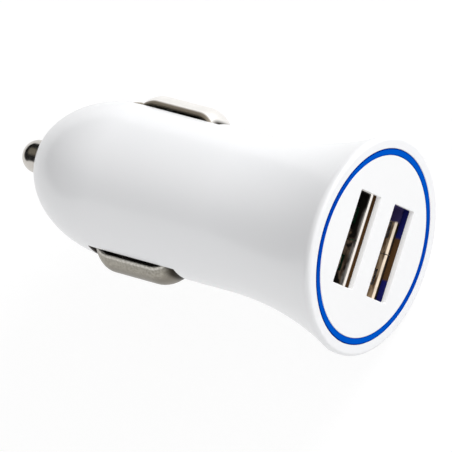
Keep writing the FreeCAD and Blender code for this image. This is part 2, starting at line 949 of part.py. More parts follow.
def status_lamp(side):
    # Lamp with a clear block on its base, facing its light pipe.
    base = centred_box(0, 0, led_base / 2, led_width, led_length, led_base)
    lens = centred_box(0, 0, led_base + led_lens / 2, led_width, led_length * 0.6, led_lens)
    lamp = joined([base, lens])
    return on_board(lamp, side * led_offset, board_front + led_length / 2, 1)


def input_capacitor():
    return lying_can(input_can_radius, board_end - input_can_inset, input_can_length, 1)


def output_capacitor():
    return lying_can(output_can_radius, bay_end + output_can_setback, output_can_length, -1)


def converter_chip():
    y = board_end - converter_inset
    return gull_chip(converter_body, converter_pins, converter_pitch, chip_pin_width, 0, y, -1)


def rectifier_diode():
    return gull_chip(diode_body, 1, 0, diode_pin_width, 0, board_end - diode_inset, -1)


def current_chip():
    x = current_edge_inset - board_rear_half_width()
    y = board_end - current_inset
    return gull_chip(current_body, current_pins, current_pitch, chip_pin_width, x, y, -1)


def input_fuse():
    return chip_piece(fuse_body, board_rear_half_width() - fuse_edge_inset, board_end - fuse_inset, 1)


def chip_rows_beside_coil(body, edge_inset, face):
    # Equal chips in two rows near the board's long edges, as one compound.
    chips = []
    for side in (-1, 1):
        x = side * (board_middle_half_width - edge_inset)
        for row in range(chip_rows):
            chips.append(chip_piece(body, x, bay_end + chip_row_setback + row * chip_row_pitch, face))
    return Part.makeCompound(chips)


# Every piece under the name of its own file

pieces = {
    "housing": housing(),
    "face_plate": face_plate(),
    "light_guide": light_guide(),
    "centre_tip": centre_tip(),
    "tip_spring": tip_spring(),
    "spring_cup": spring_cup(),
    "side_contact_left": side_contact(-1),
    "side_contact_right": side_contact(1),
    "circuit_board": circuit_board(),
    "inductor_core": inductor_core(),
    "inductor_winding": inductor_winding(),
    "input_capacitor": input_capacitor(),
    "output_capacitor": output_capacitor(),
    "converter_chip": converter_chip(),
    "rectifier_diode": rectifier_diode(),
    "current_chip": current_chip(),
    "input_fuse": input_fuse(),
    "led_left": status_lamp(-1),
    "led_right": status_lamp(1),
}
for port in port_sides:
    pieces["usb_shell_" + port] = usb_shell(port)
    pieces["usb_insulator_" + port] = usb_insulator(port)
    for number in range(terminal_count):
        pieces["usb_terminal_" + port + "_" + str(number + 1)] = usb_terminal(port, number)
pieces["chip_resistors"] = chip_rows_beside_coil(resistor_body, resistor_edge_inset, 1)
pieces["ceramic_capacitors"] = chip_rows_beside_coil(capacitor_body, capacitor_edge_inset, -1)

os.makedirs("parts", exist_ok=True)
for name, shape in pieces.items():
    shape.exportStep("parts/" + name + ".step")
    print(name, "solids", len(shape.Solids), "volume", round(shape.Volume, 2), "valid", shape.isValid())
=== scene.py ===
# %% [markdown]
# # A car charger with two ports
#
# The real object is a plug for the 12 V socket of a car: a white trumpet-shaped
# housing with a flat cap, a blue ring of light guide round the cap, two port
# openings, a sprung tip in the nose and a bowed metal strip on each side.
#
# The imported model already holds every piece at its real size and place. This
# lesson keeps those places and makes what the eye sees: fine surfaces, soft
# edges and finishes. It begins by loading the frame, in metres, where Y is the
# axis of the plug, the cap looks along -Y and the ports are stacked along Z.

# %% Load the frame
from contextlib import contextmanager
from functools import partialmethod
import math

import bmesh
import bpy
from mathutils import Matrix, Vector
import numpy


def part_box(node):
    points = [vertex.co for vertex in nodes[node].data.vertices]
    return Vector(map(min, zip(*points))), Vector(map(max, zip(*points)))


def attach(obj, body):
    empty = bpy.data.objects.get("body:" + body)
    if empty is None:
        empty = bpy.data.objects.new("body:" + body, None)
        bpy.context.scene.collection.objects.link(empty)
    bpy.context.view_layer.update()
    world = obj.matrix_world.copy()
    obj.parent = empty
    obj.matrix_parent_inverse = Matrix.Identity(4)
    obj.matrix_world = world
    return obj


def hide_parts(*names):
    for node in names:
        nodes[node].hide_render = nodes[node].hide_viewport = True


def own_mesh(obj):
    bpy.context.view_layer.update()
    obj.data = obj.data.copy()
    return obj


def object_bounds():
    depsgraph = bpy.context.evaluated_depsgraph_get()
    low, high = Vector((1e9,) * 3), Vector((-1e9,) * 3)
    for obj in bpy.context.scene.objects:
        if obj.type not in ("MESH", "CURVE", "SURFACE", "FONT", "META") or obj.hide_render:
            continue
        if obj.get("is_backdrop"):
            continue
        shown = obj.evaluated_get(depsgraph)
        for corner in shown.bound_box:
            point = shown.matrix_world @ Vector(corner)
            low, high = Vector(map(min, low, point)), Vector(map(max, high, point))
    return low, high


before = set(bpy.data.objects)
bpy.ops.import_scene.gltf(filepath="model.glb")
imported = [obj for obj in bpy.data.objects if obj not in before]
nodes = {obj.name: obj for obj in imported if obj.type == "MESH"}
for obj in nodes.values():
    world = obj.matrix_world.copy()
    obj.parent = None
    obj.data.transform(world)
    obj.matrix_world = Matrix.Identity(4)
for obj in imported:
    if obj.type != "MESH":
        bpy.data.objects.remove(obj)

cad_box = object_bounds()
print("pieces in the frame:", len(nodes))
print("box in mm:", [[round(value * 1000, 2) for value in corner] for corner in cad_box])

# %% [markdown]
# Sizes are easier to think about in millimetres, so every shape below is drawn
# in them and scaled once, when its mesh is made. Whatever can be read from the
# frame is read from it. The rest are the same named sizes that the pieces were
# drawn with.

# %% Sizes in millimetres
MM = 0.001


def far_side(node, axis):
    """How far a node reaches along an axis (0 to 2), in millimetres."""
    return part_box(node)[1][axis] / MM


rim_radius = far_side("housing", 0)
ring_radius = far_side("light_guide", 0)
plate_radius = far_side("face_plate", 0)
nose_end = far_side("housing", 1)
tip_apex = far_side("centre_tip", 1)
crest_radius = far_side("side_contact_right", 0)
sizes = {"rim": rim_radius, "ring": ring_radius, "cap": plate_radius, "nose": nose_end}
sizes.update({"tip": tip_apex, "strip crest": crest_radius})
print({name: round(size, 3) for name, size in sizes.items()})

# %% [markdown]
# The camera comes first, because every later choice is judged through it. The
# picture looks down on the front of the plug from far away, with the camera
# rolled so that the axis runs from lower right to upper left. A long lens a
# metre away gives the same weak perspective. The camera could be placed by
# hand, but angles and a scale in pixels per millimetre can be checked against
# the picture one by one.

# %% Camera
camera_azimuth = math.radians(-7.379)
camera_elevation = math.radians(58.388)
camera_roll = math.radians(66.287)
camera_distance = 1000.0
picture_width = 452
sensor_width = 36.0
pixels_per_mm = 7.739
aim_right = -19.11
aim_up = 2.694

quarter_turn = math.radians(90.0)
round_plug = Matrix.Rotation(camera_azimuth, 3, "Z")
raised = Matrix.Rotation(quarter_turn - camera_elevation, 3, "X")
picture_axes = round_plug @ raised @ Matrix.Rotation(-camera_roll, 3, "Z")
picture_up = picture_axes.col[1]


def aimed(place, target, up):
    """A matrix at place whose -Z looks at target, with up as its upper side."""
    back = (place - target).normalized()
    right = up.cross(back).normalized()
    turn = Matrix((right, back.cross(right), back)).transposed()
    return Matrix.Translation(place) @ turn.to_4x4()


def placed(name, data):
    """A new object of some data, in the scene."""
    thing = bpy.data.objects.new(name, data)
    bpy.context.scene.collection.objects.link(thing)
    return thing


lens = bpy.data.cameras.new("picture_camera")
lens.sensor_width = sensor_width
lens.lens = pixels_per_mm * camera_distance / picture_width * sensor_width
camera = placed("picture_camera", lens)
bpy.context.scene.camera = camera
eye = picture_axes @ Vector((0, 0, camera_distance)) * MM
aim = picture_axes @ Vector((aim_right, aim_up, 0)) * MM
camera.matrix_world = aimed(eye, aim, picture_up)
print("lens in mm:", round(lens.lens, 1), "up:", [round(value, 3) for value in picture_up])

# %% [markdown]
# Finishes are node trees. Written out node by node they are long and hard to
# read, so one small class wraps a socket: arithmetic on it adds Math nodes (for
# masks, | means either of two), and its method `add` makes any other node from
# its type, the values or links of its sockets and its settings. The same class
# serves for Geometry Nodes.

# %% A socket that can be used in sums
class Wire:
    """An output socket of a node tree, with the usual operators."""

    def __init__(self, tree, socket=None):
        self.tree = tree
        self.socket = socket

    def add(self, kind, sockets=None, out=0, **settings):
        """Add a node of a kind, and return the wire of its output `out`."""
        node = self.tree.nodes.new(kind)
        for name, value in settings.items():
            setattr(node, name, value)
        for name, value in (sockets or {}).items():
            self.plug(node.inputs[name], value)
        return Wire(self.tree, node.outputs[out] if len(node.outputs) else None)

    def beside(self, out):
        """The wire of another output of the same node."""
        return Wire(self.tree, self.socket.node.outputs[out])

    def plug(self, target, value):
        """Link a wire to a socket, or set the socket's own value."""
        if isinstance(value, Wire):
            self.tree.links.new(value.socket, target)
        elif target.type == "RGBA":
            target.default_value = (*value, 1.0)
        else:
            target.default_value = value

    def maths(self, operation, *others):
        """This wire, and others after it, in a Math node."""
        values = dict(enumerate((self, *others)))
        return self.add("ShaderNodeMath", values, operation=operation)

    def __rsub__(self, other):
        return self.add("ShaderNodeMath", {0: other, 1: self}, operation="SUBTRACT")

    __add__ = __radd__ = partialmethod(maths, "ADD")
    __sub__ = partialmethod(maths, "SUBTRACT")
    __mul__ = partialmethod(maths, "MULTIPLY")
    __truediv__ = partialmethod(maths, "DIVIDE")
    __pow__ = partialmethod(maths, "POWER")
    __or__ = partialmethod(maths, "MAXIMUM")
    __abs__ = partialmethod(maths, "ABSOLUTE")

    def ramp(self, low, high):
        """0 below low, 1 above high, with a smooth step between them."""
        sockets = {"Value": self, "From Min": low, "From Max": high}
        return self.add("ShaderNodeMapRange", sockets, interpolation_type="SMOOTHSTEP")

    def band(self, low, rise, fall, high):
        """A smooth step up from low to rise, and one down from fall to high."""
        return self.ramp(low, rise) * (1 - self.ramp(fall, high))

    def noise(self, scale, detail=3.0, stretch=(1.0, 1.0, 1.0)):
        """Cloudy pattern, 0 to 1, with spots of about 1 / scale metres."""
        size = [scale * value for value in stretch]
        vector = self.add("ShaderNodeMapping", {"Vector": self, "Scale": size})
        sockets = {"Vector": vector, "Scale": 1.0, "Detail": detail}
        return self.add("ShaderNodeTexNoise", sockets)

    def mix(self, first, second):
        """Colour between two others, with this wire as the share of the second."""
        sockets = {0: self, 6: first, 7: second}
        return self.add("ShaderNodeMix", sockets, 2, data_type="RGBA")


# %% [markdown]
# Every finish starts the same way: a Principled shader, the piece's own
# coordinates, and the distance from the plug's axis, which is what most marks on
# a turned or moulded part follow. Constants go straight onto the shader's
# sockets, and only what varies over the surface is a wire.

# %% Start of every finish
finishes = {}


class Finish:
    """A new material with its shader, its place in millimetres and bumps."""

    def __init__(self, slot, **constants):
        self.material = bpy.data.materials.new(slot)
        self.material.use_nodes = True
        tree = self.material.node_tree
        self.shader = tree.nodes["Principled BSDF"]
        for name, value in constants.items():
            self.shader.inputs[name.replace("_", " ")].default_value = value
        place = Wire(tree).add("ShaderNodeTexCoord", out="Object")
        self.noise = place.noise
        x = place.add("ShaderNodeSeparateXYZ", {"Vector": place})
        self.x, self.y, self.z = x / MM, x.beside("Y") / MM, x.beside("Z") / MM
        self.out, self.high = abs(self.x), abs(self.z)
        self.radius = (self.x * self.x + self.z * self.z) ** 0.5
        finishes[slot] = self.material

    def set(self, **wires):
        for name, wire in wires.items():
            wire.plug(self.shader.inputs[name.replace("_", " ")], wire)

    def bump(self, height, strength, distance):
        sockets = {"Height": height, "Strength": strength, "Distance": distance * MM}
        self.set(Normal=height.add("ShaderNodeBump", sockets))


def grained(slot, colour, shade, grain, roughness, depth, **constants):
    """Two tones in grains, which also drift the roughness and the relief."""
    drift = constants.pop("drift", 0.15)
    strength = constants.pop("strength", 0.3)
    made = Finish(slot, **constants)
    spots = made.noise(grain)
    made.set(Base_Color=spots.mix(colour, shade), Roughness=spots * drift + roughness)
    made.bump(spots, strength, depth)


# %% [markdown]
# The housing and the cap are glossy white plastic. Real moulded plastic is never
# one even white: the gloss drifts a little where the melt flowed, and a very
# fine orange-peel texture breaks up reflections. Both could be painted images,
# but noise in the piece's own coordinates has no seams and no fixed sharpness.
# Inside, the hollow and the walls of the windows carry painted shade, dark on
# the left and olive on the right, and the thin walls of the port openings get a
# painted glow. A mask by place, with soft borders, says where each is.

# %% White plastic
# The borders of the masks in mm: two for a step, four for a band.
hollow_along, hollow_radius = (12.5, 13.5, 42.5, 43.2), (9.3, 9.6)
window_along, window_across = (26.1, 26.2, 40.0, 40.1), (3.3, 3.35)
window_out = (8.0, 8.5)
slot_high, slot_out, slot_depth = (1.8, 1.85, 7.05, 7.1), (6.3, 6.35), (0.04, 0.1, 0.8, 0.9)
left_to_right = (-1.0, 1.0)
# Painted shade for the hollow inside and the window walls: dark on the left, olive on the right.
dark_hollow_shade, olive_hollow_shade = (0.06, 0.052, 0.045), (0.32, 0.285, 0.22)
# Black for no glow, and the painted glow of the thin walls of the port openings.
unlit, painted_slot_glow = (0.0, 0.0, 0.0), (0.17, 0.165, 0.16)


def white_plastic(slot, pale, cool, gloss):
    made = Finish(slot, IOR=1.5, Coat_Roughness=0.12, Coat_IOR=1.5, Emission_Strength=1.0)
    clouds = made.noise(90.0, 2.0)
    hollow = made.y.band(*hollow_along) * (1 - made.radius.ramp(*hollow_radius))
    walls = made.out.ramp(*window_out) * made.y.band(*window_along)
    inside = hollow | walls * (1 - made.high.ramp(*window_across))
    # Painted shade in the hollow and on the window walls, from dark to olive, left to right.
    hollow_shade = made.x.ramp(*left_to_right).mix(dark_hollow_shade, olive_hollow_shade)
    made.set(Base_Color=inside.mix(clouds.mix(pale, cool), hollow_shade))
    flow = made.noise(420.0, 3.0, (1.0, 0.35, 1.0))
    made.set(Roughness=flow * 0.04 + gloss, Coat_Weight=clouds * 0.05 + 0.2)
    # A painted glow on the thin walls of the port openings.
    lit = made.high.band(*slot_high) * (1 - made.out.ramp(*slot_out))
    made.set(Emission_Color=(lit * made.y.band(*slot_depth)).mix(unlit, painted_slot_glow))
    made.bump(made.noise(1500.0, 2.0), 0.05, 0.006)


white_plastic("white_shell", (0.845, 0.848, 0.858), (0.828, 0.834, 0.85), 0.27)
white_plastic("white_cap", (0.872, 0.872, 0.876), (0.86, 0.862, 0.87), 0.24)
print("white finishes:", sorted(finishes))

# %% [markdown]
# The ring is the raised edge of a blue light guide. Its blue is deep, with a
# brighter core and painted shade on the borders where it meets the white pieces,
# and a painted highlight that is brightest near the two light pipes at the sides.
# Inside the slots the guide's walls carry painted shade in dark navy and a
# painted brown reflection of the shells beside them, and a painted glow on its
# inner edge in the upper slot stands for the highlight on that shell's lip.

# %% Blue light guide
core_inner, core_soft = plate_radius + 0.02, 0.2
# Distance out from the middle over which the painted highlight of the ring grows towards the
# sides.
side_highlight_out = (2.0, 12.0)
# Across the lower slot: where its wall carries the painted brown reflection of the shell.
brown_across = (-3.5, -3.1, 2.2, 2.6)
lower_to_upper = (-0.1, 0.1)
slots_reach = (9.5, 9.6)
# Where the painted glow on the guide's inner edge lies in the upper slot.
glow_depth, glow_high = (1.28, 1.34), (0.0, 0.1)


def blue_guide():
    made = Finish("blue_guide", Specular_IOR_Level=0.0, Emission_Strength=1.0)
    soft_borders = core_inner + core_soft, ring_radius - core_soft
    core = made.radius.band(core_inner, *soft_borders, ring_radius)
    clouds = made.noise(240.0, 2.0)
    # Painted shade on the ring's borders, where it meets the white pieces, around a brighter
    # core.
    deep = core.mix((0.0, 0.015, 0.2), (0.0, 0.05, 0.42))
    # A painted highlight on the ring, brightest towards the two sides.
    bright = made.out.ramp(*side_highlight_out) * core * (0.7 + clouds * 0.5)
    ring = bright.mix(deep, (0.0, 0.09, 0.54))
    # Inside the slots, painted shade in dark navy, and a painted brown reflection of the shells
    # across the middle of the lower slot and all over the upper one.
    brown = made.x.band(*brown_across) | made.z.ramp(*lower_to_upper)
    walls = brown.mix((0.012, 0.014, 0.13), (0.1, 0.05, 0.02))
    outside = made.radius.ramp(*slots_reach)
    made.set(Base_Color=outside.mix(walls, ring))
    # A painted glow on the guide's inner edge in the upper slot, standing for the highlight on
    # the shell's lip.
    painted_lip_glow = made.y.ramp(*glow_depth) * made.z.ramp(*glow_high) * (1 - outside)
    made.set(Emission_Color=painted_lip_glow.mix(unlit, (0.9, 0.87, 0.83)))
    made.set(Roughness=made.noise(700.0) * 0.1 + 0.22)
    made.bump(made.noise(1800.0, 2.0), 0.1, 0.01)


blue_guide()

# %% [markdown]
# The metals differ mostly in how their surface was worked. The tip was turned
# and polished, so fine rings run round its axis. The side strips were rolled
# and stamped, so their grain runs along the plug. Painted shade darkens the
# strips at the foot of the front bend, where it dives under the window's edge,
# and on their undersides; their middle is painted darker than their edges, whose
# rims carry a painted highlight; and the right strip is painted brighter all over,
# as the lamp lights it. The port shells are bare tinned steel with stamping marks,
# bronze in the lower port, and in the upper one pale with painted shade that
# turns to black further in. Behind the lower one's front edge a painted glowing
# line stands for its rolled lip catching the lamp, and one end of it is painted
# navy.
# Each mark is a mask by place again: an image would need unwrapped thin sheet.

# %% Metals
def polished_tip():
    made = Finish("polished_tip", Metallic=1.0)
    rings = made.noise(9000.0, 2.0, (0.02, 1.0, 0.02))
    haze = made.noise(500.0)
    made.set(Base_Color=haze.mix((0.61, 0.58, 0.545), (0.52, 0.495, 0.46)))
    made.set(Roughness=haze * 0.08 + 0.15)
    made.bump(rings, 0.1, 0.004)


arch_outer = 3.9
# Painted shade at the foot of the front bend, where the strip dives under the window's edge; it
# reaches less far on the right strip.
foot_shade_along, foot_shade_out, foot_shade_less = (27.2, 28.4), (10.5, 11.2), 0.3
inner_face, inner_along = (3.62, 3.74), (29.2, 29.8, 37.1, 37.7)
# Across the strip: where the painted shade of the middle fades, where the rims with their
# painted highlight begin, and the shaded border of the right strip.
middle_shade_high, rim_high, shaded_border_high = (1.0, 2.6), (2.85, 2.95), (2.6, 2.9)
dulled_high = (2.2, 2.8)


def satin_contact():
    made = Finish("satin_contact", Metallic=1.0)
    high = made.high
    grain = made.noise(3500.0, 3.0, (1.0, 0.06, 1.0))
    haze = made.noise(420.0, 4.0)
    specks = made.noise(3000.0, 2.0)
    right = made.x.ramp(*left_to_right)
    # Painted shade at the foot of the front bend.
    foot_shade = 1 - (made.out + right * foot_shade_less).ramp(*foot_shade_out)
    foot_shade = foot_shade * (1 - made.y.ramp(*foot_shade_along))
    arch = ((made.out - (crest_radius - arch_outer)) ** 2.0 + high * high) ** 0.5
    # The underside of the arch, which gets painted shade.
    inner = (1 - arch.ramp(*inner_face)) * made.y.band(*inner_along)
    # Painted shade in the middle of the strip, lighter towards its edges, and a painted
    # highlight on its rims.
    shaded_middle = haze.mix((0.16, 0.145, 0.12), (0.27, 0.25, 0.215))
    mottled = specks.ramp(0.2, 0.8) * 0.6 + haze * 0.4
    lighter_face = mottled.mix((0.2, 0.185, 0.155), (0.46, 0.435, 0.38))
    rim = specks.ramp(0.3, 0.7).mix((0.46, 0.44, 0.39), (0.66, 0.64, 0.59))
    grey = high.ramp(*rim_high).mix(high.ramp(*middle_shade_high).mix(shaded_middle, lighter_face), rim)
    # The right strip is painted brighter all over, as the lamp lights it, with painted shade
    # along its border.
    bright_side = haze.mix((0.86, 0.84, 0.81), (0.97, 0.95, 0.92))
    bright_side = high.ramp(*shaded_border_high).mix(bright_side, (0.2, 0.17, 0.13))
    # Black of the painted shade at the foot and under the arch; the right strip's underside is
    # olive instead.
    black_shade = (0.03, 0.026, 0.02)
    metal = inner.mix(right.mix(grey, bright_side), right.mix(black_shade, (0.2, 0.18, 0.14)))
    made.set(Base_Color=foot_shade.mix(metal, black_shade))
    made.set(Metallic=1 - high.ramp(*dulled_high) * 0.6, Roughness=haze * 0.14 + 0.3)
    made.bump(grain, 0.25, 0.01)


# Along the depth: the lower shell's darker front edge, and where the painted shade of the upper
# shell turns brown, wandering in blotches.
front_edge, dark_depth, dark_wander = (1.85, 1.9), (2.3, 2.5), 0.6
# Across the shells: where the painted black shade of the upper shell begins and where it covers
# all, and where the lower shell turns navy.
black_start, black_end, navy_side = (1.2, 2.4), (3.8, 4.6), (4.2, 4.6)
# Where the painted highlight line lies behind the lower shell's front edge.
line_depth = (1.86, 1.94, 2.2, 2.4)


def port_steel():
    made = Finish("port_steel", Metallic=0.3, Emission_Strength=1.0)
    stamp = made.noise(1400.0, 4.0, (0.4, 1.0, 1.0))
    blotch = made.noise(520.0, 3.0, (1.0, 1.0, 0.3))
    upper = made.z.ramp(*lower_to_upper)
    pitted = stamp.ramp(0.4, 0.6)
    bronze = pitted.mix((0.2, 0.12, 0.06), (0.62, 0.46, 0.3))
    # The lower shell is darker at its front edge, in front of the painted highlight line.
    bronze = made.y.ramp(*front_edge).mix((0.05, 0.035, 0.025), bronze)
    # The upper shell carries painted shade: pale at the front, brown deeper in, and black
    # deepest, in blotches and towards its end.
    brown = pitted.mix((0.07, 0.045, 0.03), (0.22, 0.16, 0.11))
    pale = pitted.mix((0.08, 0.073, 0.066), (0.28, 0.265, 0.25))
    deep = (made.y + blotch * dark_wander).ramp(*dark_depth)
    black_shade = deep * (blotch + made.x.ramp(*black_start)).ramp(0.52, 0.62)
    black_shade = black_shade | made.x.ramp(*black_end)
    shaded = black_shade.mix(deep.mix(pale, brown), (0.012, 0.01, 0.008))
    # The lower shell is painted navy towards its end at +X.
    navy_end = made.x.ramp(*navy_side) * (1 - upper)
    made.set(Base_Color=navy_end.mix(upper.mix(bronze, shaded), (0.09, 0.07, 0.24)))
    # A painted glowing highlight line, standing for the lower shell's rolled lip catching the
    # lamp.
    line = made.y.band(*line_depth) * (1 - upper) * (1 - navy_end) * (0.6 + stamp * 0.8)
    made.set(Emission_Color=line.mix(unlit, (0.75, 0.66, 0.55)))
    made.set(Roughness=stamp * 0.2 + 0.25)
    made.bump(stamp, 0.3, 0.02)


polished_tip()
satin_contact()
port_steel()
for slot, colour, shade, roughness in (
    ("spring_wire", (0.62, 0.61, 0.6), (0.5, 0.49, 0.48), 0.28),
    ("cup_brass", (0.76, 0.58, 0.27), (0.66, 0.48, 0.2), 0.22),
    ("terminal_gold", (0.86, 0.65, 0.27), (0.76, 0.55, 0.22), 0.2),
):
    grained(slot, colour, shade, 900.0, roughness, 0.01, drift=0.12, strength=0.15, Metallic=1.0)
print("metals:", [slot for slot in finishes if "white" not in slot and "blue" not in slot])

# %% [markdown]
# Behind the ports sit the parts that only show through gaps and when the plug
# is taken apart: black mouldings, a green board, ferrite, enamelled copper,
# printed sleeves, ceramic chips and clear lamps. One function makes them all,
# because they differ only in two colours, the size of their grain and gloss.

# %% Finishes of the inner parts
for slot, colour, shade, grain, roughness, depth, *constants in (
    ("port_insulator", (0.012, 0.012, 0.013), (0.03, 0.03, 0.032), 2200.0, 0.35, 0.01),
    ("board_green", (0.004, 0.045, 0.02), (0.006, 0.06, 0.027), 800.0, 0.3, 0.02),
    ("ferrite", (0.03, 0.03, 0.032), (0.06, 0.06, 0.062), 1600.0, 0.55, 0.03),
    ("copper_wire", (0.5, 0.17, 0.07), (0.62, 0.24, 0.1), 1200.0, 0.2, 0.01, ("Metallic", 0.8)),
    ("can_sleeve", (0.015, 0.02, 0.045), (0.03, 0.035, 0.07), 600.0, 0.25, 0.01),
    ("chip_black", (0.018, 0.018, 0.02), (0.035, 0.035, 0.037), 3000.0, 0.5, 0.02),
    ("lamp_clear", (0.8, 0.85, 0.9), (0.7, 0.78, 0.88), 900.0, 0.1, 0.01, ("IOR", 1.5)),
    ("chip_ceramic", (0.42, 0.33, 0.22), (0.5, 0.4, 0.28), 2500.0, 0.4, 0.01),
):
    grained(slot, colour, shade, grain, roughness, depth, **dict(constants))
print("finishes in all:", len(finishes))

# %% [markdown]
# Many pieces of the plug are turned: the housing, the ring, the tip. Spinning an
# outline about an axis is a rule, so Geometry Nodes do it. The tree takes a
# drawn outline, sweeps it round a circle, closes the poles and gives the result
# its finish. Spin in mesh code would do the same, but the tree keeps the number
# of steps and the finish as named inputs that can be changed on any piece.

# %% Helpers for Geometry Nodes
def new_tree(name, inputs):
    """A geometry node tree with a geometry input and the named inputs after it."""
    tree = bpy.data.node_groups.new(name, "GeometryNodeTree")
    tree.is_modifier = True
    for label, kind in {"Geometry": "Geometry", **inputs}.items():
        tree.interface.new_socket(label, in_out="INPUT", socket_type="NodeSocket" + kind)
    tree.interface.new_socket("Geometry", in_out="OUTPUT", socket_type="NodeSocketGeometry")
    source = tree.nodes.new("NodeGroupInput")
    wires = {socket.name: Wire(tree, socket) for socket in source.outputs if socket.name}
    return tree, wires


def end_tree(result, finish):
    """Realize, give the finish and lead the result out of the tree."""
    whole = result.add("GeometryNodeRealizeInstances", {"Geometry": result})
    dressed = result.add("GeometryNodeSetMaterial", {"Geometry": whole, "Material": finish})
    result.add("NodeGroupOutput", {"Geometry": dressed})


def as_mesh(carrier):
    """The plain mesh that an object comes to. The object itself is removed."""
    bpy.context.view_layer.update()
    graph = bpy.context.evaluated_depsgraph_get()
    mesh = bpy.data.meshes.new_from_object(carrier.evaluated_get(graph))
    bpy.data.objects.remove(carrier)
    return mesh


def made_by(tree, data, values):
    """Run a tree on mesh or curve data, and return the result as a plain mesh."""
    carrier = placed("carrier", data)
    modifier = carrier.modifiers.new("rule", "NODES")
    modifier.node_group = tree
    for item in tree.interface.items_tree:
        if item.in_out == "INPUT" and item.name in values:
            modifier[item.identifier] = values[item.name]
    return as_mesh(carrier)


# %% The tree that turns an outline about the axis
turning_radius = 20.0
touching = 0.001 * MM


def turning_tree():
    inputs = {"Steps around": "Int", "Circle": "Float", "Finish": "Material"}
    tree, wires = new_tree("turned_outline", inputs)
    start = wires["Geometry"]
    sockets = {"Resolution": wires["Steps around"], "Radius": wires["Circle"]}
    circle = start.add("GeometryNodeCurvePrimitiveCircle", sockets, mode="RADIUS")
    swept = start.add("GeometryNodeCurveToMesh", {"Curve": circle, "Profile Curve": start})
    sockets = {"Geometry": swept, "Distance": 2 * touching}
    closed = start.add("GeometryNodeMergeByDistance", sockets)
    sockets = {"Geometry": closed, "Rotation": (quarter_turn, 0.0, 0.0)}
    upright = start.add("GeometryNodeTransform", sockets)
    end_tree(upright, wires["Finish"])
    return tree


turned_outline = turning_tree()


def drawn(outlines, flat=False):
    """Closed outlines of points (u, v) in millimetres as one curve."""
    curve = bpy.data.curves.new("outline", "CURVE")
    curve.dimensions = "2D" if flat else "3D"
    for points in outlines:
        spline = curve.splines.new("POLY")
        spline.points.add(len(points) - 1)
        for target, (u, v) in zip(spline.points, points):
            target.co = (u * MM, v * MM, 0.0, 1.0)
        spline.use_cyclic_u = True
    return curve


@contextmanager
def edited(mesh):
    """The mesh opened for work on its faces, and written back at the end."""
    work = bmesh.new()
    work.from_mesh(mesh)
    yield work
    work.to_mesh(mesh)
    work.free()


def outward(mesh):
    """Merge what touches, drop the line left on an axis, point faces outwards."""
    with edited(mesh) as work:
        bmesh.ops.remove_doubles(work, verts=work.verts, dist=touching)
        loose = [edge for edge in work.edges if not edge.link_faces]
        bmesh.ops.delete(work, geom=loose, context="EDGES")
        bmesh.ops.recalc_face_normals(work, faces=work.faces)
    return mesh


def turned(points, slot, steps):
    """Mesh of an outline (radius, distance along the axis) turned about the axis."""
    shifted = [(radius - turning_radius, along) for radius, along in points]
    values = {"Steps around": steps, "Circle": turning_radius * MM, "Finish": finishes[slot]}
    return outward(made_by(turned_outline, drawn([shifted]), values))


# %% [markdown]
# Outlines need soft corners, because a mathematically sharp edge never catches
# the light. A helper walks round the corners and puts a short arc at each, with
# its own radius, which is quicker to write and to change than the arcs' points.

# %% Outlines with soft corners
def softened(corners, closed=True, steps=5):
    """Points through corners (u, v, radius), with an arc at each rounded one."""
    points = []
    last = len(corners) - 1
    for index, (u, v, radius) in enumerate(corners):
        here = Vector((u, v))
        if radius == 0 or (not closed and index in (0, last)):
            points.append((u, v))
            continue
        back = (Vector(corners[index - 1][:2]) - here).normalized()
        forth = (Vector(corners[(index + 1) % len(corners)][:2]) - here).normalized()
        half = back.angle(forth) / 2
        reach = radius / math.tan(half)
        centre = here + (back + forth).normalized() * radius / math.sin(half)
        first = here + back * reach - centre
        second = here + forth * reach - centre
        for step in range(steps + 1):
            arm = first.lerp(second, step / steps).normalized() * radius
            points.append(tuple(centre + arm))
    return points


def stepped(low, high, step):
    """Values from low to high, evenly spaced at about a step."""
    count = max(1, round((high - low) / step))
    return [low + (high - low) * index / count for index in range(count + 1)]


# %% [markdown]
# A finished piece is an object at the origin with its place in its mesh. It
# needs sharp edges marked where faces meet at a real corner, and then it is
# parented to the body it rides on, gets its finish if it has none, and the
# nodes it stands for are hidden.
# The flat faces across the axis stay flat, or their long triangles would streak.

# %% Finishing a piece
corner_angle = math.radians(38.0)
flat_on = 0.9999


def finished(name, mesh, body, slot, *replaced):
    """Make the object of a piece, give it its body and finish, and hide the nodes it stands for.
    """
    if not mesh.materials:
        mesh.materials.append(finishes[slot])
    mesh.shade_smooth()
    mesh.set_sharp_from_angle(angle=corner_angle)
    for polygon in mesh.polygons:
        polygon.use_smooth = abs(polygon.normal.y) < flat_on
    piece = placed(name, mesh)
    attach(piece, body)
    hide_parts(*replaced)
    print(name, "faces", len(mesh.polygons), "for", ", ".join(replaced))
    return piece


def soften_edges(piece, width, degrees):
    """Round the edges of a piece that are sharper than an angle."""
    edge = piece.modifiers.new("edge", "BEVEL")
    edge.width = width * MM
    edge.segments = 2
    edge.limit_method = "ANGLE"
    edge.angle_limit = math.radians(degrees)


def open_edges(mesh):
    """How many edges of a mesh don't have exactly two faces."""
    with edited(mesh) as work:
        return sum(1 for edge in work.edges if len(edge.link_faces) != 2)


# %% [markdown]
# The housing is one moulding: a rounded rim, a flare that is one hollow arc, a
# straight barrel and an elliptical nose. Its outline also runs through the
# inside, past the sleeve that guides the tip and the pocket for the ring, so
# the wall has its real thickness. A box stretched with a subdivision surface
# could come near this shape, but the outline's own curves are exact.

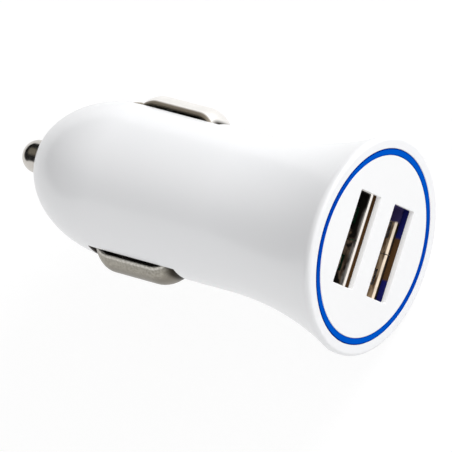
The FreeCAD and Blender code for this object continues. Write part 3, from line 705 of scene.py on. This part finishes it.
# %% Outline of the housing
rim_band = 0.8
rim_round = 0.45
rim_lip_round = 0.1
barrel_radius = 10.5
flare_length = 19.2
barrel_length = 19.3
nose_length = 14.4
nose_flat_radius = 3.3
nose_edge_round = 0.25
wall = 1.3
nose_wall = 1.3
plate_thickness = 0.75
guide_thickness = 0.9
shelf_place = plate_thickness + guide_thickness
shelf_width = 1.3
bay_radius = 9.96
bay_end = 12.7
bay_step = 0.8
fit_gap = 0.05
tip_hole_radius = 2.4
sleeve_bore = 3.55
sleeve_wall = 1.0
sleeve_length = 5.2
nose_start = flare_length + barrel_length
bore_radius = barrel_radius - wall
pocket_radius = ring_radius + fit_gap
sleeve_root = 1.0
outline_step = 0.4
nose_steps = 40


def flare_radius_at(y):
    """Radius of the hollow arc between the rim and the barrel."""
    rise = rim_radius - barrel_radius
    arc = ((flare_length - rim_band) ** 2 + rise ** 2) / (2 * rise)
    return barrel_radius + arc - math.sqrt(arc ** 2 - (flare_length - y) ** 2)


def nose_radius_at(y, base, length):
    """Radius of an elliptical nose that starts from a base radius."""
    share = max(0.0, y - nose_start) / length
    return base * math.sqrt(max(0.0, 1 - share ** 2))


def nose_points(base, length, end_radius, knots):
    """Outline of a nose from its base to an end radius, through some knots."""
    last = math.acos(end_radius / base)
    turns = [last * step / nose_steps for step in range(nose_steps + 1)]
    places = {nose_start + length * math.sin(turn) for turn in turns}
    return [(nose_radius_at(y, base, length), y) for y in sorted(places | set(knots))]


# %% Windows for the side strips
# The windows' ends are rings of the outline, so that whole faces can be taken
# out later without cutting any.
window_half_width = 3.3
crest_before_nose = (8.4, 1.6)
crest_start, crest_end = (nose_start - length for length in crest_before_nose)
foot_past_nose = 5.15
strip_sheet = 0.4
front_ramp = math.radians(65.0)
rear_ramp = math.radians(78.0)
front_bend = 3.2
rear_bend = 2.6
foot_play = 0.05
strip_tail = 5.4
foot_start = crest_start - strip_tail
foot_end = nose_start + foot_past_nose
front_play = 0.4
rear_play = 0.1
crest_middle = crest_radius - strip_sheet / 2
front_reach = front_bend * math.tan(front_ramp / 2)
rear_reach = rear_bend * math.tan(rear_ramp / 2)
front_foot_radius = bore_radius - foot_play - strip_sheet / 2
rear_bore = nose_radius_at(foot_end, bore_radius, nose_length - wall)
rear_foot_radius = rear_bore - foot_play - strip_sheet / 2
front_run = (crest_middle - front_foot_radius) / math.tan(front_ramp)
rear_run = (crest_middle - rear_foot_radius) / math.tan(rear_ramp)
front_corner = crest_start - front_reach - front_run
rear_corner = crest_end + rear_reach + rear_run
window_start = front_corner - front_play
window_end = rear_corner + rear_play
print("windows from", round(window_start, 2), "to", round(window_end, 2))


# %% The whole outline
def housing_outline():
    """The wall as (radius, y) points: outside to the nose, and back inside."""
    rim = softened([
        (pocket_radius, shelf_place, 0), (pocket_radius, 0, rim_lip_round),
        (rim_radius, 0, rim_round), (rim_radius, rim_band, 0),
    ], closed=False)[:-1]
    flare = [(flare_radius_at(y), y) for y in stepped(rim_band, flare_length, outline_step)]
    straight = stepped(flare_length, window_start, outline_step)[1:-1]
    straight += stepped(window_start, nose_start, outline_step)
    barrel = [(barrel_radius, y) for y in straight]
    nose = nose_points(barrel_radius, nose_length, nose_flat_radius, [window_end])[1:-1]
    seat = nose_end - nose_wall
    inner_length = nose_length - wall
    sleeve_radius = sleeve_bore + sleeve_wall
    sleeve = softened([
        nose[-1] + (0,),
        (nose_flat_radius, nose_end, nose_edge_round),
        (tip_hole_radius, nose_end, rim_lip_round), (tip_hole_radius, seat, 0),
        (sleeve_bore, seat, 0), (sleeve_bore, seat - sleeve_length, 0),
        (sleeve_radius, seat - sleeve_length, 0), (sleeve_radius, seat - sleeve_root, 0),
    ], closed=False)[1:-1]
    inner_nose = nose_points(bore_radius, inner_length, sleeve_radius, [window_end])[::-1]
    inside = [(bore_radius, y) for y in stepped(window_start, nose_start, outline_step)[-2::-1]]
    mouth = [
        (bore_radius, bay_end + bay_step), (bay_radius, bay_end),
        (pocket_radius - shelf_width, shelf_place),
    ]
    return rim + flare + barrel + nose + sleeve + inner_nose + inside + mouth


outline = housing_outline()
print("outline points:", len(outline))

# %% [markdown]
# The finished outline is turned into the shell. The side windows are then made
# in mesh code, because they are two exceptions in a body that is otherwise all
# rule: near each side the rings of vertices are slid until their edges lie on
# the window's borders, the faces inside are deleted from both walls, and the
# two borders are joined by the window's own walls. A Boolean could cut them in
# one go, but it leaves long thin faces that shade badly on so smooth a body.

# %% Housing shell with its windows
shell_steps = 288
window_edge = 0.14
hollow_margin = 0.5
tiny = 0.001


def slide_to_windows(mesh):
    """Slide the grid lines near each side so that two of them bound a window."""
    step = 2 * math.pi / shell_steps
    lines = round(math.asin(window_half_width / barrel_radius) / step)
    for vertex in mesh.vertices:
        x, y, z = vertex.co / MM
        radius = math.hypot(x, z)
        beside = window_start - tiny < y < window_end + tiny
        if radius < rear_bore - hollow_margin or not beside:
            continue
        stretch = math.asin(window_half_width / radius) / (lines * step)
        angle = math.atan2(z, abs(x))
        share = min(1.0, max(0.0, 2 - abs(angle) / (lines * step)))
        moved = angle * (1 + (stretch - 1) * share)
        side = math.copysign(radius * math.cos(moved), x)
        vertex.co = Vector((side, y, radius * math.sin(moved))) * MM


def bevel(work, edges, width, segments):
    """Round some edges of a mesh that is open for work."""
    rounding = {"offset": width * MM, "segments": segments, "profile": 0.5}
    bmesh.ops.bevel(work, geom=edges, affect="EDGES", **rounding)


def cut_windows(mesh):
    """Take out the faces inside the windows and wall their borders."""
    with edited(mesh) as work:
        inside = []
        for face in work.faces:
            x, y, z = face.calc_center_median() / MM
            near = abs(z) < window_half_width and abs(x) > rear_bore - 2 * hollow_margin
            if near and window_start < y < window_end:
                inside.append(face)
        bmesh.ops.delete(work, geom=inside, context="FACES")
        for side in (-1, 1):
            border = [edge for edge in work.edges if edge.is_boundary]
            border = [edge for edge in border if edge.verts[0].co.x * side > 0]
            walls = set(bmesh.ops.bridge_loops(work, edges=border)["faces"])
            rims = [edge for edge in border if walls & set(edge.link_faces)]
            bevel(work, rims, window_edge, 3)
        bmesh.ops.recalc_face_normals(work, faces=work.faces)


# %% Flat outlines drawn out across the plug
def slab(points, low, high, edge=0.0):
    """A solid with a (y, z) outline, from one x to another, with softened edges."""
    mesh = bpy.data.meshes.new("slab")
    with edited(mesh) as work:
        near = [work.verts.new(Vector((low, y, z)) * MM) for y, z in points]
        far = [work.verts.new(Vector((high, y, z)) * MM) for y, z in points]
        work.faces.new(near)
        work.faces.new(far[::-1])
        for index in range(len(points)):
            work.faces.new((near[index - 1], near[index], far[index], far[index - 1]))
        bmesh.ops.recalc_face_normals(work, faces=work.faces)
        if edge:
            sharp = [item for item in work.edges if item.calc_face_angle(0) > corner_angle]
            bevel(work, sharp, edge, 2)
    return mesh


def bar(edge, *spans):
    """A slab between two places along X, Y and Z, given in either order."""
    (low, high), (y_low, y_high), (z_low, z_high) = map(sorted, spans)
    corners = [(y_low, z_low), (y_high, z_low), (y_high, z_high), (y_low, z_high)]
    return slab(corners, low, high, edge)


def together(name, meshes):
    """One mesh from several."""
    whole = bpy.data.meshes.new(name)
    with edited(whole) as work:
        for mesh in meshes:
            work.from_mesh(mesh)
    return whole


# %% The housing with the rails that carry the board
board_top = 0.8
rail_after_bay = 1.5
rail_before_foot = 0.9
rail_depth = 1.2
rail_play = 0.1
rail_thickness = 1.0
rail_edge = 0.08
rail_across = (bore_radius - rail_depth, bore_radius + wall / 4)
rail_along = (bay_end + rail_after_bay, foot_start - rail_before_foot)
rail_low = board_top + rail_play
rail_heights = (rail_low, rail_low + rail_thickness)

shell_mesh = turned(outline, "white_shell", shell_steps)
slide_to_windows(shell_mesh)
cut_windows(shell_mesh)
print("open edges of the shell:", open_edges(shell_mesh))
rails = []
for side in (-1, 1):
    for face in (-1, 1):
        across = [side * x for x in rail_across]
        heights = [face * z for z in rail_heights]
        rails.append(bar(rail_edge, across, rail_along, heights))
housing_mesh = together("housing_shell", [shell_mesh] + rails)
finished("housing_shell", housing_mesh, "charger", "white_shell", "housing")

# %% [markdown]
# The cap and the guide behind it are flat plates with two round-cornered slots.
# Drawn as flat outlines with holes, and filled and given their thickness and
# soft edge by the curve's own bevel, they stay exact, and the slots need no
# cutting. The curve is made a mesh and stood up to face the user.

# %% Plates with two slots
port_height = 5.12
port_width = 12.5
port_pitch = 8.9
port_corner = 0.2
plate_steps = 192


def rounded_slot(width, height, corner, centre):
    """Outline of a slot with round corners about a centre height."""
    half = width / 2
    low = centre - height / 2
    high = centre + height / 2
    return softened([
        (-half, low, corner), (half, low, corner),
        (half, high, corner), (-half, high, corner),
    ], steps=8)


def plate_mesh(outlines, front, thickness, edge):
    """A plate from its front face inwards, with its outlines' edges softened."""
    curve = drawn(outlines, flat=True)
    curve.fill_mode = "BOTH"
    curve.extrude = (thickness / 2 - edge) * MM
    curve.bevel_depth = edge * MM
    curve.bevel_resolution = 2
    curve.offset = -edge * MM
    mesh = as_mesh(placed("plate", curve))
    middle = Matrix.Translation((0, (front + thickness / 2) * MM, 0))
    mesh.transform(middle @ Matrix.Rotation(quarter_turn, 4, "X"))
    return outward(mesh)


def plate_outlines(radius, margin):
    """A disc's outline and its two slots, with a margin round the ports."""
    size = (port_width + 2 * margin, port_height + 2 * margin, port_corner)
    slots = [rounded_slot(*size, side * port_pitch / 2) for side in (-1, 1)]
    angles = [2 * math.pi * index / plate_steps for index in range(plate_steps)]
    disc = [(radius * math.cos(angle), radius * math.sin(angle)) for angle in angles]
    return [disc] + slots


# %% Front cap with its snap legs
cap_edge = 0.08
seam_closed = 0.035
snap_inset = 1.2
snap_distance = plate_radius - snap_inset
snap_width = 4.0
snap_thickness = 0.8
snap_reach = 3.2
snap_end = shelf_place + snap_reach
snap_barb = 0.55
snap_play = 0.15
snap_edge = 0.06
barb_length = 1.2
barb_start = snap_end - barb_length


def snap_leg(side):
    """A flat leg behind the cap with a wedge-shaped barb at its end."""
    outer = snap_distance
    inner = snap_distance - snap_thickness
    heights = [
        (plate_thickness / 2, inner), (snap_end, inner),
        (snap_end, inner + snap_thickness / 2), (barb_start, outer + snap_barb),
        (barb_start, outer), (plate_thickness / 2, outer),
    ]
    leg = [(y, side * z) for y, z in heights]
    return slab(leg, -snap_width / 2, snap_width / 2, snap_edge)


cap_outlines = plate_outlines(plate_radius + seam_closed, 0.0)
cap_mesh = plate_mesh(cap_outlines, 0.0, plate_thickness, cap_edge)
print("open edges of the cap:", open_edges(cap_mesh))
cap_mesh = together("front_cap", [cap_mesh, snap_leg(-1), snap_leg(1)])
finished("front_cap", cap_mesh, "charger", "white_cap", "face_plate")

# %% Light guide with its raised ring and light pipes
ring_width = 0.85
ring_edge = 0.12
ring_steps = 288
slot_margin = 0.1
notch_size = (snap_width + 2 * snap_play, snap_thickness + 2 * snap_play, 0.05)
disc_edge = 0.03
pipe_width = 2.2
pipe_height = 1.6
pipe_end = 3.05
pipe_edge = 0.06
pipe_inset = 1.7
pipe_place = bay_radius - pipe_inset
ring_inner = ring_radius - ring_width

disc_outlines = plate_outlines(ring_radius, slot_margin)
for side in (-1, 1):
    leg_place = side * (snap_distance - snap_thickness / 2)
    disc_outlines.append(rounded_slot(*notch_size, leg_place))
disc = plate_mesh(disc_outlines, plate_thickness, guide_thickness, disc_edge)
ring_middle = plate_thickness + guide_thickness / 2
raised_ring = turned(softened([
    (ring_inner, ring_middle, 0), (ring_inner, 0, ring_edge),
    (ring_radius + seam_closed, 0, ring_edge), (ring_radius + seam_closed, ring_middle, 0),
]), "blue_guide", ring_steps)
pipes = []
for side in (-1, 1):
    across = [side * (pipe_place + step * pipe_width / 2) for step in (-1, 1)]
    heights = (board_top, board_top + pipe_height)
    pipes.append(bar(pipe_edge, across, (ring_middle, pipe_end), heights))
guide_mesh = together("light_ring", [raised_ring, disc] + pipes)
finished("light_ring", guide_mesh, "charger", "blue_guide", "light_guide")

# %% [markdown]
# The tip is a turned pin with a domed end, a flange that keeps it in the nose
# and a spigot that centres its spring. Like the housing it is one outline.

# %% Centre tip
tip_radius = 2.25
flange_radius = 3.4
flange_thickness = 1.0
flange_seat = nose_end - nose_wall
flange_back = flange_seat - flange_thickness
spigot_radius = 1.75
spigot_length = 1.0
spigot_end = flange_back - spigot_length
flange_edge = 0.15
dome_radius = tip_radius * 0.98
tip_steps = 128

tip_outline = softened([
    (0, spigot_end, 0), (spigot_radius, spigot_end, flange_edge),
    (spigot_radius, flange_back, 0), (flange_radius, flange_back, flange_edge),
    (flange_radius, flange_seat, flange_edge), (tip_radius, flange_seat, 0),
    (tip_radius, tip_apex, dome_radius), (0, tip_apex, 0),
], steps=14)
tip_mesh = turned(tip_outline, "polished_tip", tip_steps)
print("open edges of the tip:", open_edges(tip_mesh))
finished("tip_pin", tip_mesh, "tip", "polished_tip", "centre_tip")

# %% [markdown]
# The spring behind the tip and the choke's winding are both wire on a helix,
# so one tree makes them. A screw modifier could draw the same helix, but a
# tree's spiral and wire thickness can be read and changed by name.

# %% The tree that winds wire
turn_steps = 48
wire_steps = 12


def winding_tree():
    lengths = dict.fromkeys(["Turns", "Coil radius", "Height", "Wire radius"], "Float")
    tree, wires = new_tree("wound_wire", {**lengths, "Finish": "Material"})
    start = wires["Geometry"]
    path = start.add("GeometryNodeCurveSpiral", {
        "Resolution": turn_steps,
        "Rotations": wires["Turns"],
        "Start Radius": wires["Coil radius"],
        "End Radius": wires["Coil radius"],
        "Height": wires["Height"],
    })
    sockets = {"Resolution": wire_steps, "Radius": wires["Wire radius"]}
    section = start.add("GeometryNodeCurvePrimitiveCircle", sockets)
    sockets = {"Curve": path, "Profile Curve": section, "Fill Caps": True}
    end_tree(start.add("GeometryNodeCurveToMesh", sockets), wires["Finish"])
    return tree


wound_wire = winding_tree()


def wound(turns, coil_radius, height, wire_radius, slot):
    """Mesh of a wire coil that stands on z = 0."""
    values = {"Turns": turns, "Coil radius": coil_radius * MM, "Height": height * MM}
    values.update({"Wire radius": wire_radius * MM, "Finish": finishes[slot]})
    return outward(made_by(wound_wire, bpy.data.meshes.new("start"), values))


# %% Tip spring and choke winding
# The spring shortens between the tip's flange and its cup as the tip goes in,
# so it rides on the charger instead of on the tip.
spring_length = 6.0
spring_radius = 2.2
spring_wire = 0.225
spring_turns = 5.0
cup_face = flange_back - spring_length

spring_height = spring_length - 2 * spring_wire
spring_mesh = wound(spring_turns, spring_radius, spring_height, spring_wire, "spring_wire")
stand = Matrix.Translation((0, (cup_face + spring_wire) * MM, 0))
spring_mesh.transform(stand @ Matrix.Rotation(-quarter_turn, 4, "X"))
spring = finished("tip_spring_coil", spring_mesh, "charger", "spring_wire", "tip_spring")
cup_face * MM
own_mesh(spring)

coil_turns = 6.0
coil_low, coil_high = (Vector(corner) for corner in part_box("inductor_winding"))
coil_radius = (coil_high - coil_low).x / 2 / MM
coil_height = (coil_high - coil_low).z / MM
coil_wire = coil_height / (coil_turns + 1) / 2
coil_size = (coil_radius - coil_wire, coil_height - 2 * coil_wire, coil_wire)
winding_mesh = wound(coil_turns, *coil_size, "copper_wire")
middle = (coil_low + coil_high) / 2
middle.z = coil_low.z + coil_wire * MM
winding_mesh.transform(Matrix.Translation(middle))
finished("choke_winding", winding_mesh, "charger", "copper_wire", "inductor_winding")

# %% [markdown]
# Each side contact is one strip of spring steel, bowed along its length and
# arched across, with narrow feet that stay behind the ends of its window. Its
# mesh is a grid: rows follow the bent path, columns follow the arch, and the
# plan gives each row its width. Solidify gives the sheet and Bevel its edge.

# %% Side strips
contact_foot_width = 3.6
contact_width = 6.0
foot_bend = 0.7
shoulder = 1.0
shoulder_round = 0.5
strip_edge = 0.08
strip_step = 0.3
strip_columns = 24
arch_radius = arch_outer - strip_sheet / 2


def strip_half_widths():
    """The plan of the strip, as all its y and all its half widths."""
    foot = contact_foot_width / 2
    full = contact_width / 2
    near = front_corner + front_play
    far = rear_corner
    return zip(*softened([
        (foot_start, 0, 0), (foot_start, foot, foot_bend),
        (near, foot, foot_bend), (near + shoulder, full, shoulder_round),
        (far - shoulder, full, shoulder_round), (far, foot, foot_bend),
        (foot_end, foot, foot_bend), (foot_end, 0, 0),
    ], closed=False)[1:-1])


def strip_path():
    """The strip's middle line as (radius, y) points, finely divided."""
    bends = softened([
        (front_foot_radius, foot_start, 0), (front_foot_radius, front_corner, foot_bend),
        (crest_middle, crest_start - front_reach, front_bend),
        (crest_middle, crest_end + rear_reach, rear_bend),
        (rear_foot_radius, rear_corner, foot_bend), (rear_foot_radius, foot_end, 0),
    ], closed=False, steps=9)
    fine = []
    for first, second in zip(bends, bends[1:]):
        share = strip_step / math.dist(first, second)
        for place in stepped(0.0, 1.0, share)[:-1] if share < 1 else [0.0]:
            fine.append(tuple(Vector(first).lerp(Vector(second), place)))
    return fine + [bends[-1]]


def strip_mesh(side):
    """Sheet of a side contact, as a grid over its path and its arch."""
    plan_y, plan_half = strip_half_widths()
    mesh = bpy.data.meshes.new("strip")
    with edited(mesh) as work:
        rows = []
        for radius, y in strip_path():
            half = float(numpy.interp(y, plan_y, plan_half))
            row = []
            for column in range(strip_columns + 1):
                z = half * (2 * column / strip_columns - 1)
                drop = arch_radius - math.sqrt(arch_radius ** 2 - z ** 2)
                row.append(work.verts.new(Vector((side * (radius - drop), y, z)) * MM))
            rows.append(row)
        for row, after in zip(rows, rows[1:]):
            for column in range(strip_columns):
                corners = row[column:column + 2] + after[column:column + 2][::-1]
                work.faces.new(corners)
        bmesh.ops.recalc_face_normals(work, faces=work.faces)
    return mesh


for side, name in ((-1, "left"), (1, "right")):
    told = ("contact_" + name, "satin_contact", "side_contact_" + name)
    strip = finished("side_strip_" + name, strip_mesh(side), *told)
    sheet = strip.modifiers.new("sheet", "SOLIDIFY")
    sheet.thickness = strip_sheet * MM
    sheet.offset = 0.0
    soften_edges(strip, strip_edge, degrees=50.0)

# %% [markdown]
# The four terminals of a port are the same strip four times, so a tree sets it
# on a row of points. Each port's row is one piece.

# %% Rows of terminals
terminal_count = 4
terminal_spacing = 2.3
terminal_width = 1.0
terminal_sheet = 0.25
terminal_bend = 0.3
tongue_height = 1.84
tongue_rise = 0.85
tail_gap = 0.06


def row_tree():
    inputs = {"Count": "Int", "Spacing": "Float", "Finish": "Material"}
    tree, wires = new_tree("strips_in_a_row", inputs)
    start = wires["Geometry"]
    first = (1 - wires["Count"]) * wires["Spacing"] / 2
    points = start.add("GeometryNodeMeshLine", {
        "Count": wires["Count"],
        "Start Location": start.add("ShaderNodeCombineXYZ", {"X": first}),
        "Offset": start.add("ShaderNodeCombineXYZ", {"X": wires["Spacing"]}),
    })
    sockets = {"Points": points, "Instance": start}
    end_tree(start.add("GeometryNodeInstanceOnPoints", sockets), wires["Finish"])
    return tree


strips_in_a_row = row_tree()


def strip_outline(path, sheet):
    """Closed outline round a path (y, z) at half a sheet's distance."""
    points = [Vector(point) for point in softened(path, closed=False)]
    upper = []
    lower = []
    for index, here in enumerate(points):
        run = points[min(index + 1, len(points) - 1)] - points[max(index - 1, 0)]
        normal = Vector((-run.y, run.x)).normalized() * sheet / 2
        upper.append(tuple(here + normal))
        lower.append(tuple(here - normal))
    return upper + lower[::-1]


for name, side in (("upper", 1), ("lower", -1)):
    row = ["usb_terminal_%s_%d" % (name, number + 1) for number in range(terminal_count)]
    low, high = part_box(row[0])
    tongue_side = side * port_pitch / 2 + tongue_rise - tongue_height / 2
    strip_z = tongue_side + terminal_sheet / 2
    foot_z = side * (board_top + terminal_sheet / 2)
    tail = bay_end + tail_gap + terminal_sheet / 2
    path = [
        (low[1] / MM, strip_z, 0), (tail, strip_z, terminal_bend),
        (tail, foot_z, terminal_bend), (high[1] / MM, foot_z, 0),
    ]
    one = slab(strip_outline(path, terminal_sheet), -terminal_width / 2, terminal_width / 2)
    values = {"Count": terminal_count, "Spacing": terminal_spacing * MM}
    values["Finish"] = finishes["terminal_gold"]
    row_mesh = made_by(strips_in_a_row, one, values)
    finished("terminals_" + name, row_mesh, "charger", "terminal_gold", *row)

# %% [markdown]
# Every other piece already has its shape in the frame. The shells of the ports
# show at the openings, so they get a softened copy whose edges catch the light.
# The rest keep their own mesh and only get their finish.

# %% Softened copies of the port shells
shell_edge = 0.05
nearly_flat = 0.01

for name in ("usb_shell_upper", "usb_shell_lower"):
    mesh = nodes[name].data.copy()
    with edited(mesh) as work:
        bmesh.ops.remove_doubles(work, verts=work.verts, dist=2 * touching)
        whole = {"verts": work.verts, "edges": work.edges}
        bmesh.ops.dissolve_limit(work, angle_limit=nearly_flat, **whole)
    mesh.materials.clear()
    shell = finished(name + "_soft", mesh, "charger", "port_steel", name)
    soften_edges(shell, shell_edge, degrees=40.0)

# %% Finishes on the nodes of the frame
node_slots = {}
for name, node in nodes.items():
    for holder in node.material_slots:
        label = holder.material.name.split(".")[0] if holder.material else ""
        node_slots.setdefault(label, []).append(name)
        if label in finishes:
            holder.material = finishes[label]
print("slots on the frame's nodes:", {label: len(names) for label, names in node_slots.items()})

# %% [markdown]
# The stage is a plain pale floor that the rim just touches. In the picture the
# ground is pure white, so the floor shows itself to the camera, and to gloss,
# partly by its own light, at a strength where white stays white, and keeps a
# faint shadow. For all other rays it is plain pale paint.

# %% Floor
floor_size = 4.0
floor_share_lit = 0.25
floor_glow = 0.8
floor_paint = 0.85
pure_white = (1.0, 1.0, 1.0)


def emptied(owner):
    """A wire to begin the emptied node tree of a material or a world."""
    owner.use_nodes = True
    owner.node_tree.nodes.clear()
    return Wire(owner.node_tree)


def seen_directly(start):
    """1 for the rays that show a surface as it is: camera, gloss and glass."""
    rays = start.add("ShaderNodeLightPath", out="Is Camera Ray")
    return rays | rays.beside("Is Glossy Ray") | rays.beside("Is Transmission Ray")


def stage_material():
    material = bpy.data.materials.new("pale_floor")
    start = emptied(material)
    paint = start.add("ShaderNodeBsdfDiffuse", {"Color": (floor_paint,) * 3})
    dim = start.add("ShaderNodeBsdfDiffuse", {"Color": (floor_share_lit,) * 3})
    glow = start.add("ShaderNodeEmission", {"Color": pure_white, "Strength": floor_glow})
    bright = start.add("ShaderNodeAddShader", {0: dim, 1: glow})
    sockets = {0: seen_directly(start), 1: paint, 2: bright}
    choice = start.add("ShaderNodeMixShader", sockets)
    start.add("ShaderNodeOutputMaterial", {"Surface": choice})
    return material


def flat_card(name, size, material, place):
    """A square, for the floor or a studio card."""
    mesh = bpy.data.meshes.new(name)
    with edited(mesh) as work:
        bmesh.ops.create_grid(work, x_segments=1, y_segments=1, size=0.5)
        bmesh.ops.scale(work, vec=(size, size, 1.0), verts=work.verts)
    mesh.materials.append(material)
    card = placed(name, mesh)
    card.matrix_world = place
    card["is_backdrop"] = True
    return card


floor_place = Matrix.Translation((0, 0, -rim_radius * MM))
flat_card("floor", floor_size, stage_material(), floor_place)

# %% [markdown]
# Light is soft and plain: an even pale world, and one lamp beyond the upper
# side of the picture, which makes that side of the barrel the palest. A card
# above the nose does what the dark end of a studio does. Gloss sees it dark,
# with an olive middle, so the polished tip gets its black band, and all other
# rays see dim air there, so the lower side of the barrel turns a little greyer.
# More lamps could shape the tones as well, but each one adds its own shadows.

# %% World, lamp and card
world_light = 0.92
key_power = 2.75
key_size = 0.3
key_distance = 0.7
key_direction = Vector((0.905, -0.42, 0.325)).normalized()
key_target = Vector((0, 0.02, 0))
card_distance = 0.5
card_size = 1.3
card_direction = Vector((0.27, 0.72, 0.74)).normalized()
card_dim = 0.56
card_olive, card_black = (0.2, 0.185, 0.15), (0.005, 0.005, 0.005)
olive_across, olive_along, olive_border = 0.3, 0.26, (0.45, 1.25)
card_border = (0.82, 1.0)

scene = bpy.context.scene
scene.view_settings.view_transform = "Standard"
scene.world = bpy.data.worlds.new("studio")
air = emptied(scene.world)
strength = seen_directly(air) * (1.0 - world_light) + world_light
sky = air.add("ShaderNodeBackground", {"Color": pure_white, "Strength": strength})
air.add("ShaderNodeOutputWorld", {"Surface": sky})

key = bpy.data.lights.new("key", "AREA")
key.shape = "DISK"
key.size = key_size
key.energy = key_power
key_place = aimed(key_direction * key_distance, key_target, Vector((0, 0, 1)))
placed("key", key).matrix_world = key_place


def card_material():
    """Gloss sees the card dark, with an olive middle and soft edges; other rays
    see dim air."""
    material = bpy.data.materials.new("dark_card")
    start = emptied(material)
    place = start.add("ShaderNodeTexCoord", out="Object")
    x = place.add("ShaderNodeSeparateXYZ", {"Vector": place})
    across, along = x / (card_size / 2), x.beside("Y") / (card_size / 2)
    centre = ((across / olive_across) ** 2.0 + (along / olive_along) ** 2.0) ** 0.5
    border = (across ** 4.0 + along ** 4.0) ** 0.25
    dark = centre.ramp(*olive_border).mix(card_olive, card_black)
    seen = border.ramp(*card_border).mix(dark, pure_white)
    glossy = start.add("ShaderNodeLightPath", out="Is Glossy Ray")
    tone = glossy.mix((card_dim,) * 3, seen)
    glow = start.add("ShaderNodeEmission", {"Color": tone, "Strength": 1.0})
    start.add("ShaderNodeOutputMaterial", {"Surface": glow})
    return material


stand = aimed(card_direction * card_distance, Vector(), Vector((0, 1, 0)))
card = flat_card("dark_card", card_size, card_material(), stand)
card.visible_camera = False
card.visible_shadow = False
card.visible_transmission = False

# %% [markdown]
# The dressed model has to stay inside the box of the frame's model, so both
# boxes are printed.

# %% Both boxes printed
seen_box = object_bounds()
boxes = {
    "cad": [list(corner) for corner in cad_box],
    "visual": [list(corner) for corner in seen_box],
}
corners = [corner for box in boxes.values() for corner in box]
print("boxes in mm:", [[round(value / MM, 3) for value in corner] for corner in corners])
